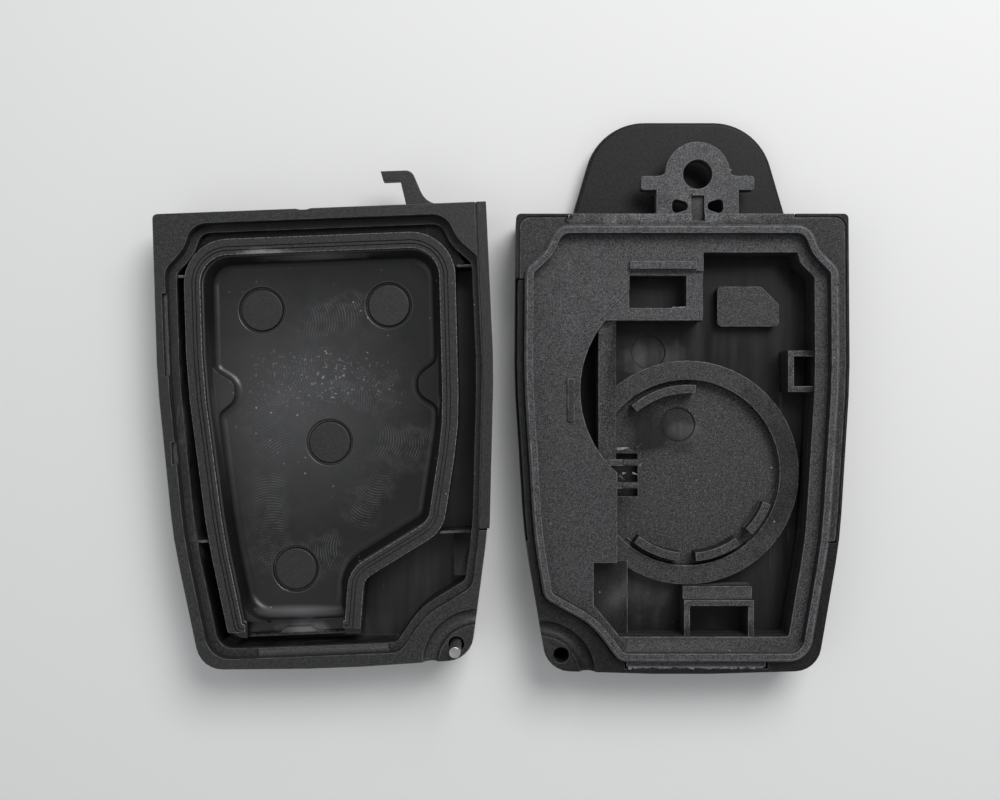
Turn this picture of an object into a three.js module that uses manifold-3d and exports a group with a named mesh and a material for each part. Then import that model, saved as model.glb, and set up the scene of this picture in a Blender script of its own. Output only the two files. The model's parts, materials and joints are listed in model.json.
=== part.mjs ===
// Shell of a car key fob, opened: the front half with its buttons and the rear half with its battery
// pocket lie side by side on a table, insides up. Millimetres, +Z up, the table at z = 0.
import * as THREE from "three";
import { mergeVertices } from "three/addons/utils/BufferGeometryUtils.js";
import Module from "manifold-3d";

// Body outline, the same for both halves; u runs across a half, v along it, from its centre
const BODY_LENGTH = 58.4;
const TOP_WIDTH = 42.1;
const SHOULDER_WIDTH = 42.4;
const SHOULDER_FROM_TOP = 21;
const WAIST_WIDTH = 39.9;
const WAIST_FROM_TOP = 41.2;
const BOTTOM_WIDTH = 34.2;
const BOTTOM_BOW = 0.5;
const TOP_CORNER = 0.6;
const SIDE_SWEEP = 60;
const BOTTOM_SWEEP = 120;
const BOTTOM_CORNER = 3.4;
const HALF_HEIGHT = 7.5;
const OUTER_EDGE = 1.8;

// Where the halves meet: the rear lip stands in the cavity inside the front rim
const RIM = 1.4;
const BOTTOM_RIM = 1.7;
const CAVITY_CORNER = 3.2;
const CHAMFER_ACROSS = 5.05;
const CHAMFER_DOWN = 7.1;
const CHAMFER_DIP = 0.5;
const CHAMFER_DIP_AT = 0.48;
const CHAMFER_TOP_ROUND = 2.6;
const CHAMFER_ROUND = 2;
const CHAMFER_HOLLOW = 3;
const LIP_CLEARANCE = 0.15;
const LIP_WIDTH = 1.1;
const LIP_HEIGHT = 1.2;
const LIP_BREAK = 0.3;

// Gaps between pieces: beside a neighbour, at a seat, and at a seam that shows as a fine line
const SIDE_GAP = 0.3;
const SEAT_GAP = 0.3;
const SEAM_GAP = 0.2;
const OVERLAP = 0.1;

// Side trim: a strip that makes the front half's right rim down to the waist
const TRIM_WIDTH = 1;
const TRIM_PROUD = 0.2;
const TRIM_BOTTOM = 2.4;
const TRIM_END_FROM_TOP = 41.4;

// Lanyard corner: half a tunnel in each half, bent round a boss with a steel pin
const BEND_OUT = 0.9;
const BEND_BELOW = 0.15;
const TUNNEL_BEND = 6.05;
const TUNNEL_RADIUS = 1;
const CORNER_WALL = 1.7;
const BAY_EASE = 0.25;
const PIN_FROM_BEND = 3.75;
const PIN_RADIUS = 0.7;
const PIN_SEAT = 2;
const PIN_REACH = 4.5;
const PIN_TIP_GAP = 0.6;

// Front cover
const FRONT_FLOOR = 1.1;
const LEDGE_WIDTH = 1;
const LEDGE_DROP = 1.6;
const CHANNEL_LEFT = 1.1;
const CHANNEL_RIGHT = 2;
const CHANNEL_TOP = 0.95;
const CHANNEL_FOOT = 1.7;
const CHANNEL_BOTTOM = 1.1;
const RIB_THICKNESS = 0.4;
const RIB_TOP_DROP = 2;
const UPPER_RIB_FROM_TOP = 7.8;
const LOWER_RIB_FROM_TOP = 41.9;
const SHELF_WIDTH = 2.6;
const SHELF_HEIGHT = 2;
const SHELF_LENGTH = 6;
const TONGUE_LEFT = 10;
const TONGUE_RIGHT = 6.6;
const TONGUE_RISE = 0.25;
const SNAP_NOTCH_DEPTH = 0.4;
const SNAP_NOTCH_DROP = 0.7;
const LONG_NOTCH_FROM_TOP = 10.1;
const LONG_NOTCH_LENGTH = 10.4;
const SHORT_NOTCH_FROM_TOP = 29;
const SHORT_NOTCH_LENGTH = 2.8;
const PRY_NOTCH_WIDTH = 4;
const PRY_NOTCH_DEPTH = 0.35;
const PRY_NOTCH_DROP = 1.5;
const PRY_NOTCH_LEFT = 1.9;
const HOOK_TIP = 8.05;
const HOOK_ROOT = 11.25;
const HOOK_ROOT_WIDTH = 6.2;
const HOOK_STEM = 2.45;
const HOOK_REACH = 4.35;
const HOOK_FINGER = 1.2;
const HOOK_NECK = 1.5;
const HOOK_SWEEP = 2.6;
const HOOK_TIP_ROUND = 1.2;
const HOOK_TIP_LEAN = 0.3;
const HOOK_THICKNESS = 1.8;
const HOOK_DROP = 0.2;

// Keypad tray and its seal
const SEAL_WIDTH = 2.05;
const SEAL_HEIGHT = 0.9;
const SEAL_DROP = 0.9;
const SEAL_LEG_END = 1;
const SEAL_GROOVE_WIDTH = 0.14;
const SEAL_GROOVE_DEPTH = 0.2;
const SEAL_GROOVES = [0.95, 1.4];
const TRAY_TOP_CORNER = 5.7;
const TRAY_FOOT_CORNER = 2;
const TRAY_FLOOR = 0.6;
const TRAY_SKIRT = 1.2;
const TRAY_FILLET = 1.1;
const WALL_DRAFT = 0.7;
const FOOT_WALL_DROP = 3.2;
const HIP_FROM_TOP = 28.2;
const HIP_SWEEP = 45;
const KNEE_FROM_TOP = 41.6;
const KNEE_CHANNEL = 3.7;
const KNEE_ROUND = 4.5;
const KNEE_ACROSS = 10.3;
const KNEE_DOWN = 5.8;
const ELBOW_ROUND = 2;
const FOOT_LEAN = 0.8;
const POST_REACH = 2.5;
const POST_WIDTH = 5;
const POST_TIP = 1.5;
const POST_ROUND = 1;
const POST_FLARE = 2.2;
const POST_FROM_TOP = 22.8;
const POST_DROP = 3.1;
const TAB_LENGTH = 13.2;
const TAB_LEFT = 0.7;
const TAB_FOOT_LENGTH = 5.5;
const TAB_FOOT_LEFT = 5;
const TAB_FOOT_UP = 0.3;
const TAB_FOOT_REACH = 0.9;
const TAB_REACH = 1.8;
const TAB_SLANT = 1.2;
const TAB_DROP = 2.6;

// Buttons: cap in the cover's opening, flange behind it, plunger through the tray's floor
const CAP_WIDTH = 10.5;
const CAP_LENGTH = 7.2;
const CAP_CORNER = 2.4;
const CAP_RECESS = 0.25;
const CAP_CROWN = 0.35;
const FLANGE_REACH = 0.7;
const FLANGE_THICKNESS = 0.4;
const PLUNGER_RADIUS = 2.7;
const PLUNGER_GAP = 0.3;
const BUTTON_TRAVEL = 0.5;
const UPPER_BUTTON_IN = 9.1;
const UPPER_BUTTON_DOWN = 8.95;
const CENTRE_BUTTON_LEFT = 0.35;
const CENTRE_BUTTON_DOWN = 26.5;
const LOWER_BUTTON_IN = 9.6;
const LOWER_BUTTON_UP = 8.4;

// Back cover and its dome
const COVER_FLOOR = 1.2;
const COVER_SILL = 4.2;
const SIDE_RECESS = 0.3;
const SIDE_RECESS_BOTTOM = 2.2;
const DOME_LENGTH = 12.8;
const DOME_U = 0.35;
const DOME_BASE_WIDTH = 28.8;
const DOME_TOP_WIDTH = 20.7;
const DOME_CORNER = 7.8;
const DOME_THICKNESS = 2.8;
const DOME_TOP_EDGE = 0.6;
const DOME_ROOT = 1;

// Rear housing
const WING_INSET = 0.5;
const WING_TOP_WIDTH = 28.4;
const WING_CORNER = 1.8;
const WING_END_FROM_TOP = 41.5;
const GUSSET_LENGTH = 8.2;
const CATCH_LEFT = 7.1;
const CATCH_RIGHT = 10.6;
const CATCH_INSET = 1;
const HOUSING_FLOOR = 1;
const PLATEAU_DROP = 0.3;
const SHELF_INSET = 1.65;
const POCKET_FROM_TOP = 4.9;
const POCKET_FROM_BOTTOM = 4.75;
const POCKET_CORNER = 0.4;
const POCKET_CHAMFER_ACROSS = 2.2;
const POCKET_CHAMFER_DOWN = 3.1;
const POCKET_CHAMFER_STEP = 1.3;
const PLATEAU_EDGE = -8.2;
const LOWER_EDGE = -6.6;
const RECESS_LEFT = -11.2;
const RECESS_FROM_BOTTOM = 14.1;
const RECESS_CORNER = 4;
const RECESS_ACROSS = 3.3;
const RECESS_DROP = 2.5;
const BLOCK_RIGHT = 2.75;
const BLOCK_FROM_TOP = 13.5;
const BLOCK_DROP = 0.3;
const BLOCK_SLANT = 3.9;
const WINDOW_LEFT = -6.65;
const WINDOW_RIGHT = 0.6;
const WINDOW_FROM_TOP = 7.8;
const WINDOW_LENGTH = 4.1;
const WINDOW_DEPTH = 4;
const WINDOW_BAR = 1;
const WINDOW_BAR_ABOVE = 0.75;
const WINDOW_BAR_RISE = 0.7;
const BATTERY_RADIUS = 10;
const BATTERY_HEIGHT = 3.2;
const BATTERY_U = 1.1;
const BATTERY_FROM_BOTTOM = 25.4;
const BATTERY_PLAY = 0.25;
const RETAINER_WIDTH = 1.1;
const RETAINER_SLIT = 0.65;
const RING_WIDTH = 2.5;
const RING_HEIGHT = 2;
const POCKET_STEP = 0.5;
const RETAINER_HEIGHT = 2.6;
const RETAINERS = [
  [85, 130],
  [232, 264],
  [275, 306],
  [316, 339],
];
const CRESCENT_RADIUS = 14;
const CRESCENT_FROM_TOP = 22.4;
const CRESCENT_BAR = 2.3;
const CRESCENT_BAR_DROP = 1.3;
const FINGER_LENGTH = 2.7;
const FINGER_WIDTH = 0.8;
const FINGER_PITCH = 2.9;
const FINGER_ABOVE = 1.85;
const FINGER_WINDOW = 3.1;
const FINGER_WINDOW_ABOVE = 2.4;
const FINGER_WINDOW_BELOW = 3.2;
const RIDGE_LEFT = -14.1;
const RIDGE_WIDTH = 0.9;
const RIDGE_LENGTH = 5.4;
const RIDGE_FROM_TOP = 20.9;
const RIDGE_RISE = 0.35;
const PAD_WIDTH = 8;
const PAD_LENGTH = 5.2;
const PAD_CHAMFER = 2.3;
const PAD_CORNER = 0.6;
const PAD_RIGHT = 13.05;
const PAD_FROM_TOP = 8.9;
const PAD_HEIGHT = 1.8;
const CLIP_WALL = 0.75;
const CLIP_HEIGHT = 4.2;
const SIDE_CLIP_LEFT = 13.6;
const SIDE_CLIP_LENGTH = 5.3;
const SIDE_CLIP_FROM_TOP = 17.3;
const FOOT_CLIP_LEFT = 0.35;
const FOOT_CLIP_WIDTH = 8.9;
const FOOT_CLIP_FROM_BOTTOM = 10.9;
const FOOT_CLIP_STEP = 1.6;
const FOOT_CLIP_STEP_DROP = 1.1;
const EJECTOR_RADIUS = 2.2;
const EJECTOR_DEPTH = 0.2;
const EJECTOR_LEFT = 3.65;
const EJECTOR_BELOW_BLOCK = 3.85;
const EJECTOR_ABOVE_CELL = 6.2;
const EJECTOR_FROM_CELL = 0.9;

// T-shaped key tab on the housing's top wall
const TAB_U = 2.05;
const TAB_TOP_DROP = 0.6;
const TAB_THICKNESS = 1.8;
const TAB_BODY_WIDTH = 10.5;
const TAB_ROOT = 2;
const EYE_FROM_TOP = 5.1;
const EYE_RADIUS = 1.85;
const EYE_ARCH = 4.15;
const EAR_SPAN = 14.4;
const EAR_WIDTH = 1.8;
const EAR_FROM_TOP = 4.9;
const EAR_CORNER = 0.35;
const EAR_FLARE = 1.5;
const CORE_WIDTH = 2;
const CORE_LENGTH = 2.1;
const CORE_INNER = 1.25;
const CORE_CORNER = 0.55;
const CORE_NOSE = 0.9;
const SLOT_WIDTH = 1.65;
const SLOT_DEPTH = 0.6;
const SLOT_ABOVE = 2.4;
const SLOT_BELOW = 0.9;

// How the halves lie
const HALVES_GAP = 2.6;
const FRONT_AHEAD = 0.76;
const FRONT_TURN = 2.2;

// Facets
const ARC_STEP = Math.PI / 12;
const COARSE_STEP = Math.PI / 6;
const COARSE_UNDER = 1;
const FINE_STEP = Math.PI / 30;
const FINE_OVER = 5;
const EDGE_STEPS = 4;
const ROUND_SIDES = 32;
const PIN_SIDES = 20;
const SECTOR_STEPS = 8;
const TUNNEL_SIDES = 12;
const TUNNEL_STEPS = 56;
const LEAST_ROUND = 0.1;
const PAST = 1;

const TOP = BODY_LENGTH / 2;
const BOTTOM = -TOP;
const SHOULDER = TOP - SHOULDER_FROM_TOP;
const WAIST = TOP - WAIST_FROM_TOP;

const wasm = await Module();
wasm.setup();

function arcStep(radius) {
  if (radius < COARSE_UNDER) {
    return COARSE_STEP;
  }
  return radius > FINE_OVER ? FINE_STEP : ARC_STEP;
}

// Side of a closed outline that follows one of its corners [u, v, radius], which run counter-clockwise.
function sideAfter(corners, i) {
  const [u, v] = corners.at(i);
  const [nextU, nextV] = corners[(i + 1) % corners.length];
  return new THREE.Vector2(nextU - u, nextV - v).normalize();
}

// Corners of the outline drawn in by inset.
function drawIn(corners, inset) {
  const sides = corners.map(([u, v], i) => {
    const along = sideAfter(corners, i);
    const inward = new THREE.Vector2(-along.y, along.x);
    return { along, start: new THREE.Vector2(u, v).addScaledVector(inward, inset) };
  });
  return sides.map((after, i) => {
    const before = sides.at(i - 1);
    const turn = before.along.cross(after.along);
    const reach = after.start.clone().sub(before.start).cross(after.along) / turn;
    const { x, y } = before.start.clone().addScaledVector(before.along, reach);
    const [, , radius = 0] = corners[i];
    const round = radius === 0 ? 0 : Math.max(radius - Math.sign(turn) * inset, LEAST_ROUND);
    return [x, y, round];
  });
}

// Points of the outline drawn in by inset. A corner with no radius stays one point, and a round takes up
// no more than half of each side.
function outline(corners, inset = 0) {
  const drawn = drawIn(corners, inset);
  const points = drawn.map(([u, v]) => new THREE.Vector2(u, v));
  return drawn.flatMap(([, , wanted], i) => {
    const point = points[i];
    if (wanted === 0) {
      return [point];
    }
    const before = sideAfter(corners, i - 1);
    const after = sideAfter(corners, i);
    const turn = Math.atan2(before.cross(after), before.dot(after));
    const slope = Math.tan(Math.abs(turn) / 2);
    const neighbours = [points.at(i - 1), points[(i + 1) % points.length]];
    const room = Math.min(...neighbours.map((neighbour) => point.distanceTo(neighbour))) / 2;
    const round = Math.min(wanted, room / slope);
    const tangent = point.clone().addScaledVector(before, -round * slope);
    const normal = new THREE.Vector2(-before.y, before.x).multiplyScalar(Math.sign(turn) * round);
    const centre = tangent.clone().add(normal);
    const steps = Math.ceil(Math.abs(turn) / arcStep(corners[i][2]));
    return Array.from({ length: steps + 1 }, (_, k) =>
      tangent.clone().rotateAround(centre, (turn * k) / steps),
    );
  });
}

const mirrored = (corners) => corners.map(([u, v, radius]) => [-u, v, radius]).reverse();

function asSolid(geometry) {
  const bare = new THREE.BufferGeometry();
  bare.setAttribute("position", geometry.getAttribute("position"));
  bare.setIndex(geometry.index);
  const welded = mergeVertices(bare);
  const vertProperties = welded.attributes.position.array;
  const triVerts = new Uint32Array(welded.index.array);
  return new wasm.Manifold(new wasm.Mesh({ numProp: 3, vertProperties, triVerts }));
}

function asMesh(name, solid, material) {
  const { vertProperties, triVerts } = solid.getMesh();
  const geometry = new THREE.BufferGeometry();
  geometry.setAttribute("position", new THREE.BufferAttribute(vertProperties, 3));
  geometry.setIndex(new THREE.BufferAttribute(triVerts, 1));
  geometry.computeVertexNormals();
  const mesh = new THREE.Mesh(geometry, material);
  mesh.name = name;
  return mesh;
}

function prism(points, bottom, top) {
  const depth = top - bottom;
  const shape = new THREE.Shape(points);
  return asSolid(new THREE.ExtrudeGeometry(shape, { depth, bevelEnabled: false }).translate(0, 0, bottom));
}

function block(left, right, low, high, bottom, top) {
  const box = new THREE.BoxGeometry(right - left, high - low, top - bottom);
  return asSolid(box.translate((left + right) / 2, (low + high) / 2, (bottom + top) / 2));
}

function drum(radius, bottom, top, u, v, sides = ROUND_SIDES) {
  const cylinder = new THREE.CylinderGeometry(radius, radius, top - bottom, sides);
  return asSolid(cylinder.rotateX(Math.PI / 2).translate(u, v, (bottom + top) / 2));
}

// A solid through outlines of the same corners at several heights, each [inset, z].
function loft(corners, levels) {
  const rings = levels.map(([inset, z]) => outline(corners, inset).map(({ x, y }) => [x, y, z]));
  const size = rings[0].length;
  const last = (rings.length - 1) * size;
  const lowCap = THREE.ShapeUtils.triangulateShape(outline(corners, levels[0][0]), []);
  const highCap = THREE.ShapeUtils.triangulateShape(outline(corners, levels.at(-1)[0]), []);
  const faces = [
    ...lowCap.flatMap(([a, b, c]) => [c, b, a]),
    ...highCap.flatMap(([a, b, c]) => [last + a, last + b, last + c]),
  ];
  for (let level = 0; level < rings.length - 1; level += 1) {
    for (let i = 0; i < size; i += 1) {
      const a = level * size + i;
      const b = level * size + ((i + 1) % size);
      faces.push(a, b, b + size, a, b + size, a + size);
    }
  }
  const geometry = new THREE.BufferGeometry();
  geometry.setAttribute("position", new THREE.Float32BufferAttribute(rings.flat(2), 3));
  geometry.setIndex(faces);
  return asSolid(geometry);
}

// Levels of an edge rounded from a flat face at z = face to the full outline, above it or below it.
function roundedEdge(radius, face, above = 1) {
  return Array.from({ length: EDGE_STEPS + 1 }, (_, k) => {
    const angle = (k / EDGE_STEPS) * (Math.PI / 2);
    return [radius * (1 - Math.sin(angle)), face + above * radius * (1 - Math.cos(angle))];
  });
}

const ring = (corners, outer, inner, bottom, top) =>
  prism(outline(corners, outer), bottom, top).subtract(
    prism(outline(corners, inner), bottom - PAST, top + PAST),
  );

function sector(inner, outer, from, to, bottom, top) {
  const [start, end] = [from, to].map(THREE.MathUtils.degToRad);
  const shape = new THREE.Shape();
  shape.absarc(0, 0, outer, start, end, false);
  shape.absarc(0, 0, inner, end, start, true);
  const options = { depth: top - bottom, bevelEnabled: false, curveSegments: SECTOR_STEPS };
  return asSolid(new THREE.ExtrudeGeometry(shape, options).translate(0, 0, bottom));
}

const join = (...solids) => solids.reduce((whole, piece) => whole.add(piece));

// Half the body's width at v, between the corners of its side.
function sideAt(v) {
  const stations = [
    [BOTTOM + BOTTOM_BOW, BOTTOM_WIDTH / 2],
    [WAIST, WAIST_WIDTH / 2],
    [SHOULDER, SHOULDER_WIDTH / 2],
    [TOP, TOP_WIDTH / 2],
  ];
  const next = Math.max(1, stations.findIndex(([station]) => station >= v));
  const [[lowV, lowHalf], [highV, highHalf]] = [stations[next - 1], stations[next]];
  return THREE.MathUtils.mapLinear(v, lowV, highV, lowHalf, highHalf);
}

const bodyCorners = (topCorner = TOP_CORNER) => [
  [-BOTTOM_WIDTH / 2, BOTTOM + BOTTOM_BOW, BOTTOM_CORNER],
  [0, BOTTOM, BOTTOM_SWEEP],
  [BOTTOM_WIDTH / 2, BOTTOM + BOTTOM_BOW, BOTTOM_CORNER],
  [WAIST_WIDTH / 2, WAIST, SIDE_SWEEP],
  [SHOULDER_WIDTH / 2, SHOULDER, SIDE_SWEEP],
  [TOP_WIDTH / 2, TOP, topCorner],
  [-TOP_WIDTH / 2, TOP, topCorner],
  [-SHOULDER_WIDTH / 2, SHOULDER, SIDE_SWEEP],
  [-WAIST_WIDTH / 2, WAIST, SIDE_SWEEP],
];

// Lanyard corner as it lies in the rear half, lower left
const bend = { u: -BOTTOM_WIDTH / 2 - BEND_OUT, v: BOTTOM - BEND_BELOW };
const pinAt = { u: bend.u + PIN_FROM_BEND * Math.SQRT1_2, v: bend.v + PIN_FROM_BEND * Math.SQRT1_2 };

// Edge of the front cavity as seen in the rear half, with waved chamfers at the top
// and a bay round the lanyard corner.
function cavityCorners() {
  const right = (v) => sideAt(v) - RIM;
  const left = (v) => TRIM_WIDTH - sideAt(v);
  const top = TOP - RIM;
  const bottom = BOTTOM + BOTTOM_RIM;
  const guard = TUNNEL_BEND + TUNNEL_RADIUS + CORNER_WALL;
  const bay = guard * Math.SQRT1_2 + BAY_EASE;
  const bayTop = bend.v + guard + LIP_WIDTH;
  const chamferU = TOP_WIDTH / 2 - CHAMFER_ACROSS;
  const chamferV = TOP - CHAMFER_DOWN;
  const dipV = THREE.MathUtils.lerp(top, chamferV, CHAMFER_DIP_AT) - CHAMFER_DIP;
  const rightDip = THREE.MathUtils.lerp(chamferU, right(chamferV), CHAMFER_DIP_AT) - CHAMFER_DIP;
  const leftDip = THREE.MathUtils.lerp(-chamferU, left(chamferV), CHAMFER_DIP_AT) + CHAMFER_DIP;
  return [
    [left(bayTop), bayTop, CHAMFER_ROUND],
    [bend.u + bay, bend.v + bay, guard],
    [bend.u + guard + LIP_WIDTH, bottom, CHAMFER_ROUND],
    [right(bottom), bottom, CAVITY_CORNER],
    [right(WAIST), WAIST, SIDE_SWEEP],
    [right(SHOULDER), SHOULDER, SIDE_SWEEP],
    [right(chamferV), chamferV, CHAMFER_ROUND],
    [rightDip, dipV, CHAMFER_HOLLOW],
    [chamferU, top, CHAMFER_TOP_ROUND],
    [-chamferU, top, CHAMFER_TOP_ROUND],
    [leftDip, dipV, CHAMFER_HOLLOW],
    [left(chamferV), chamferV, CHAMFER_ROUND],
    [left(SHOULDER), SHOULDER, SIDE_SWEEP],
    [left(WAIST), WAIST, SIDE_SWEEP],
  ];
}

function tunnel(mirror) {
  const torus = new THREE.TorusGeometry(TUNNEL_BEND, TUNNEL_RADIUS, TUNNEL_SIDES, TUNNEL_STEPS);
  return asSolid(torus.translate(mirror * bend.u, bend.v, HALF_HEIGHT));
}

// Keypad tray, in the front half's own frame
const wellLeft = (v) => RIM + LEDGE_WIDTH - sideAt(v);
const wellRight = (v) => sideAt(v) - TRIM_WIDTH - LEDGE_WIDTH;
const trayTop = TOP - RIM - LEDGE_WIDTH - CHANNEL_TOP;
const trayFoot = BOTTOM + BOTTOM_RIM + LEDGE_WIDTH + CHANNEL_BOTTOM;
const trayLeft = (v) => wellLeft(v) + CHANNEL_LEFT;
const trayRight = (v) => wellRight(v) - CHANNEL_RIGHT;
const hip = TOP - HIP_FROM_TOP;
const knee = { u: wellRight(TOP - KNEE_FROM_TOP) - KNEE_CHANNEL, v: TOP - KNEE_FROM_TOP };
const elbow = { u: knee.u - KNEE_ACROSS, v: knee.v - KNEE_DOWN };
const trayCorners = [
  [wellLeft(trayFoot) + CHANNEL_FOOT, trayFoot, TRAY_FOOT_CORNER],
  [elbow.u - FOOT_LEAN, trayFoot],
  [elbow.u, elbow.v, ELBOW_ROUND],
  [knee.u, knee.v, KNEE_ROUND],
  [trayRight(hip), hip, HIP_SWEEP],
  [trayRight(trayTop), trayTop, TRAY_TOP_CORNER],
  [trayLeft(trayTop), trayTop, TRAY_TOP_CORNER],
  [trayLeft(SHOULDER), SHOULDER, SIDE_SWEEP],
  [wellLeft(WAIST) + CHANNEL_FOOT, WAIST, SIDE_SWEEP],
];
const flangeBottom = FRONT_FLOOR + SEAT_GAP;
const flangeTop = flangeBottom + FLANGE_THICKNESS;
const trayFloorBottom = flangeTop + BUTTON_TRAVEL + SEAT_GAP;
const trayFloorTop = trayFloorBottom + TRAY_FLOOR;
const sealTop = HALF_HEIGHT - SEAL_DROP;
const sealBottom = sealTop - SEAL_HEIGHT;
const trayWallTop = sealBottom - SEAT_GAP;

const upperButtonV = trayTop - UPPER_BUTTON_DOWN;
const lowerButtonV = trayFoot + LOWER_BUTTON_UP;
const buttons = {
  upper_left_button: [trayLeft(upperButtonV) + UPPER_BUTTON_IN, upperButtonV],
  upper_right_button: [trayRight(upperButtonV) - UPPER_BUTTON_IN, upperButtonV],
  centre_button: [-CENTRE_BUTTON_LEFT, trayTop - CENTRE_BUTTON_DOWN],
  lower_button: [wellLeft(lowerButtonV) + CHANNEL_FOOT + LOWER_BUTTON_IN, lowerButtonV],
};
const capCorners = ([u, v]) => [
  [u - CAP_WIDTH / 2, v - CAP_LENGTH / 2, CAP_CORNER],
  [u + CAP_WIDTH / 2, v - CAP_LENGTH / 2, CAP_CORNER],
  [u + CAP_WIDTH / 2, v + CAP_LENGTH / 2, CAP_CORNER],
  [u - CAP_WIDTH / 2, v + CAP_LENGTH / 2, CAP_CORNER],
];

const trimEnd = TOP - TRIM_END_FROM_TOP;
const trimCorners = [
  [sideAt(trimEnd) - TRIM_WIDTH, trimEnd],
  [sideAt(trimEnd) + TRIM_PROUD, trimEnd],
  [sideAt(SHOULDER) + TRIM_PROUD, SHOULDER, SIDE_SWEEP],
  [sideAt(TOP) + TRIM_PROUD, TOP],
  [sideAt(TOP) - TRIM_WIDTH, TOP],
  [sideAt(SHOULDER) - TRIM_WIDTH, SHOULDER, SIDE_SWEEP],
];
const sideTrim = () => prism(outline(trimCorners), TRIM_BOTTOM, HALF_HEIGHT);

function frontHook() {
  const tip = TOP + HOOK_REACH;
  const stem = HOOK_ROOT - HOOK_NECK / 2;
  const root = TOP - RIM / 2;
  const edge = TOP - OVERLAP;
  const corners = [
    [HOOK_ROOT, root],
    [HOOK_ROOT + HOOK_ROOT_WIDTH, root],
    [HOOK_ROOT + HOOK_ROOT_WIDTH, edge],
    [HOOK_ROOT + HOOK_STEM, edge, HOOK_SWEEP],
    [stem + HOOK_NECK, tip, HOOK_TIP_ROUND],
    [HOOK_TIP, tip],
    [HOOK_TIP + HOOK_TIP_LEAN, tip - HOOK_FINGER],
    [stem, tip - HOOK_FINGER],
  ];
  const top = HALF_HEIGHT - HOOK_DROP;
  return prism(outline(corners), top - HOOK_THICKNESS, top);
}

function frontCover() {
  const cavity = mirrored(cavityCorners());
  const ledge = HALF_HEIGHT - LEDGE_DROP;
  const over = HALF_HEIGHT + PAST;
  const shell = loft(bodyCorners(), [...roundedEdge(OUTER_EDGE, 0), [0, HALF_HEIGHT]]);
  const mouth = prism(outline(cavity), ledge, over);
  const well = prism(outline(cavity, LEDGE_WIDTH), FRONT_FLOOR, over);
  const trimSeat = prism(outline(trimCorners, -SEAM_GAP), TRIM_BOTTOM - SEAT_GAP, over);
  const openings = Object.values(buttons).map((at) =>
    prism(outline(capCorners(at), -SIDE_GAP), -PAST, FRONT_FLOOR + PAST),
  );

  // Ribs stand in the channel and stop short of the tray; a low shelf fills its wide lower corner
  const ribTop = HALF_HEIGHT - RIB_TOP_DROP;
  const trayRoom = prism(outline(trayCorners, -SIDE_GAP), 0, over);
  const ribs = [UPPER_RIB_FROM_TOP, LOWER_RIB_FROM_TOP].map((fromTop) => {
    const [low, high] = [TOP - fromTop - RIB_THICKNESS / 2, TOP - fromTop + RIB_THICKNESS / 2];
    return block(-SHOULDER_WIDTH / 2, SHOULDER_WIDTH / 2, low, high, FRONT_FLOOR - OVERLAP, ribTop);
  });
  const shelfHigh = TOP - LOWER_RIB_FROM_TOP;
  const shelfLeft = wellRight(shelfHigh) - SHELF_WIDTH;
  const shelfTop = FRONT_FLOOR + SHELF_HEIGHT;
  const shelf = block(shelfLeft, SHOULDER_WIDTH / 2, shelfHigh - SHELF_LENGTH, shelfHigh, 0, shelfTop);
  const channelFill = join(...ribs, shelf)
    .intersect(prism(outline(cavity, LEDGE_WIDTH - OVERLAP), 0, HALF_HEIGHT))
    .subtract(trayRoom);

  // The ledge rises a little along the bottom, where the rear lip's catch lands
  const tongueTop = ledge + TONGUE_RISE;
  const tongue = block(-TONGUE_LEFT, TONGUE_RIGHT, BOTTOM, BOTTOM / 2, ledge - OVERLAP, tongueTop)
    .intersect(ring(cavity, -OVERLAP, LEDGE_WIDTH, 0, over));
  const notch = (fromTop, length) => {
    const [low, high] = [TOP - fromTop - length, TOP - fromTop];
    const edge = Math.max(sideAt(low), sideAt(high)) - RIM;
    return block(-edge - SNAP_NOTCH_DEPTH, -edge + RIM, low, high, HALF_HEIGHT - SNAP_NOTCH_DROP, over);
  };
  const pry = prism(
    outline([
      [-PRY_NOTCH_LEFT - PRY_NOTCH_WIDTH / 2, TOP + PRY_NOTCH_DEPTH],
      [-PRY_NOTCH_LEFT, TOP - PRY_NOTCH_DEPTH, PRY_NOTCH_WIDTH],
      [-PRY_NOTCH_LEFT + PRY_NOTCH_WIDTH / 2, TOP + PRY_NOTCH_DEPTH],
    ]),
    HALF_HEIGHT - PRY_NOTCH_DROP,
    over,
  );
  const pinHole = drum(PIN_RADIUS + SIDE_GAP, PIN_SEAT - SEAT_GAP, over, -pinAt.u, pinAt.v, PIN_SIDES);
  const cuts = [
    mouth,
    well,
    trimSeat,
    ...openings,
    notch(LONG_NOTCH_FROM_TOP, LONG_NOTCH_LENGTH),
    notch(SHORT_NOTCH_FROM_TOP, SHORT_NOTCH_LENGTH),
    pry,
    pinHole,
    tunnel(-1),
  ];
  return shell.subtract(join(...cuts)).add(join(channelFill, tongue, frontHook()));
}

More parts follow.
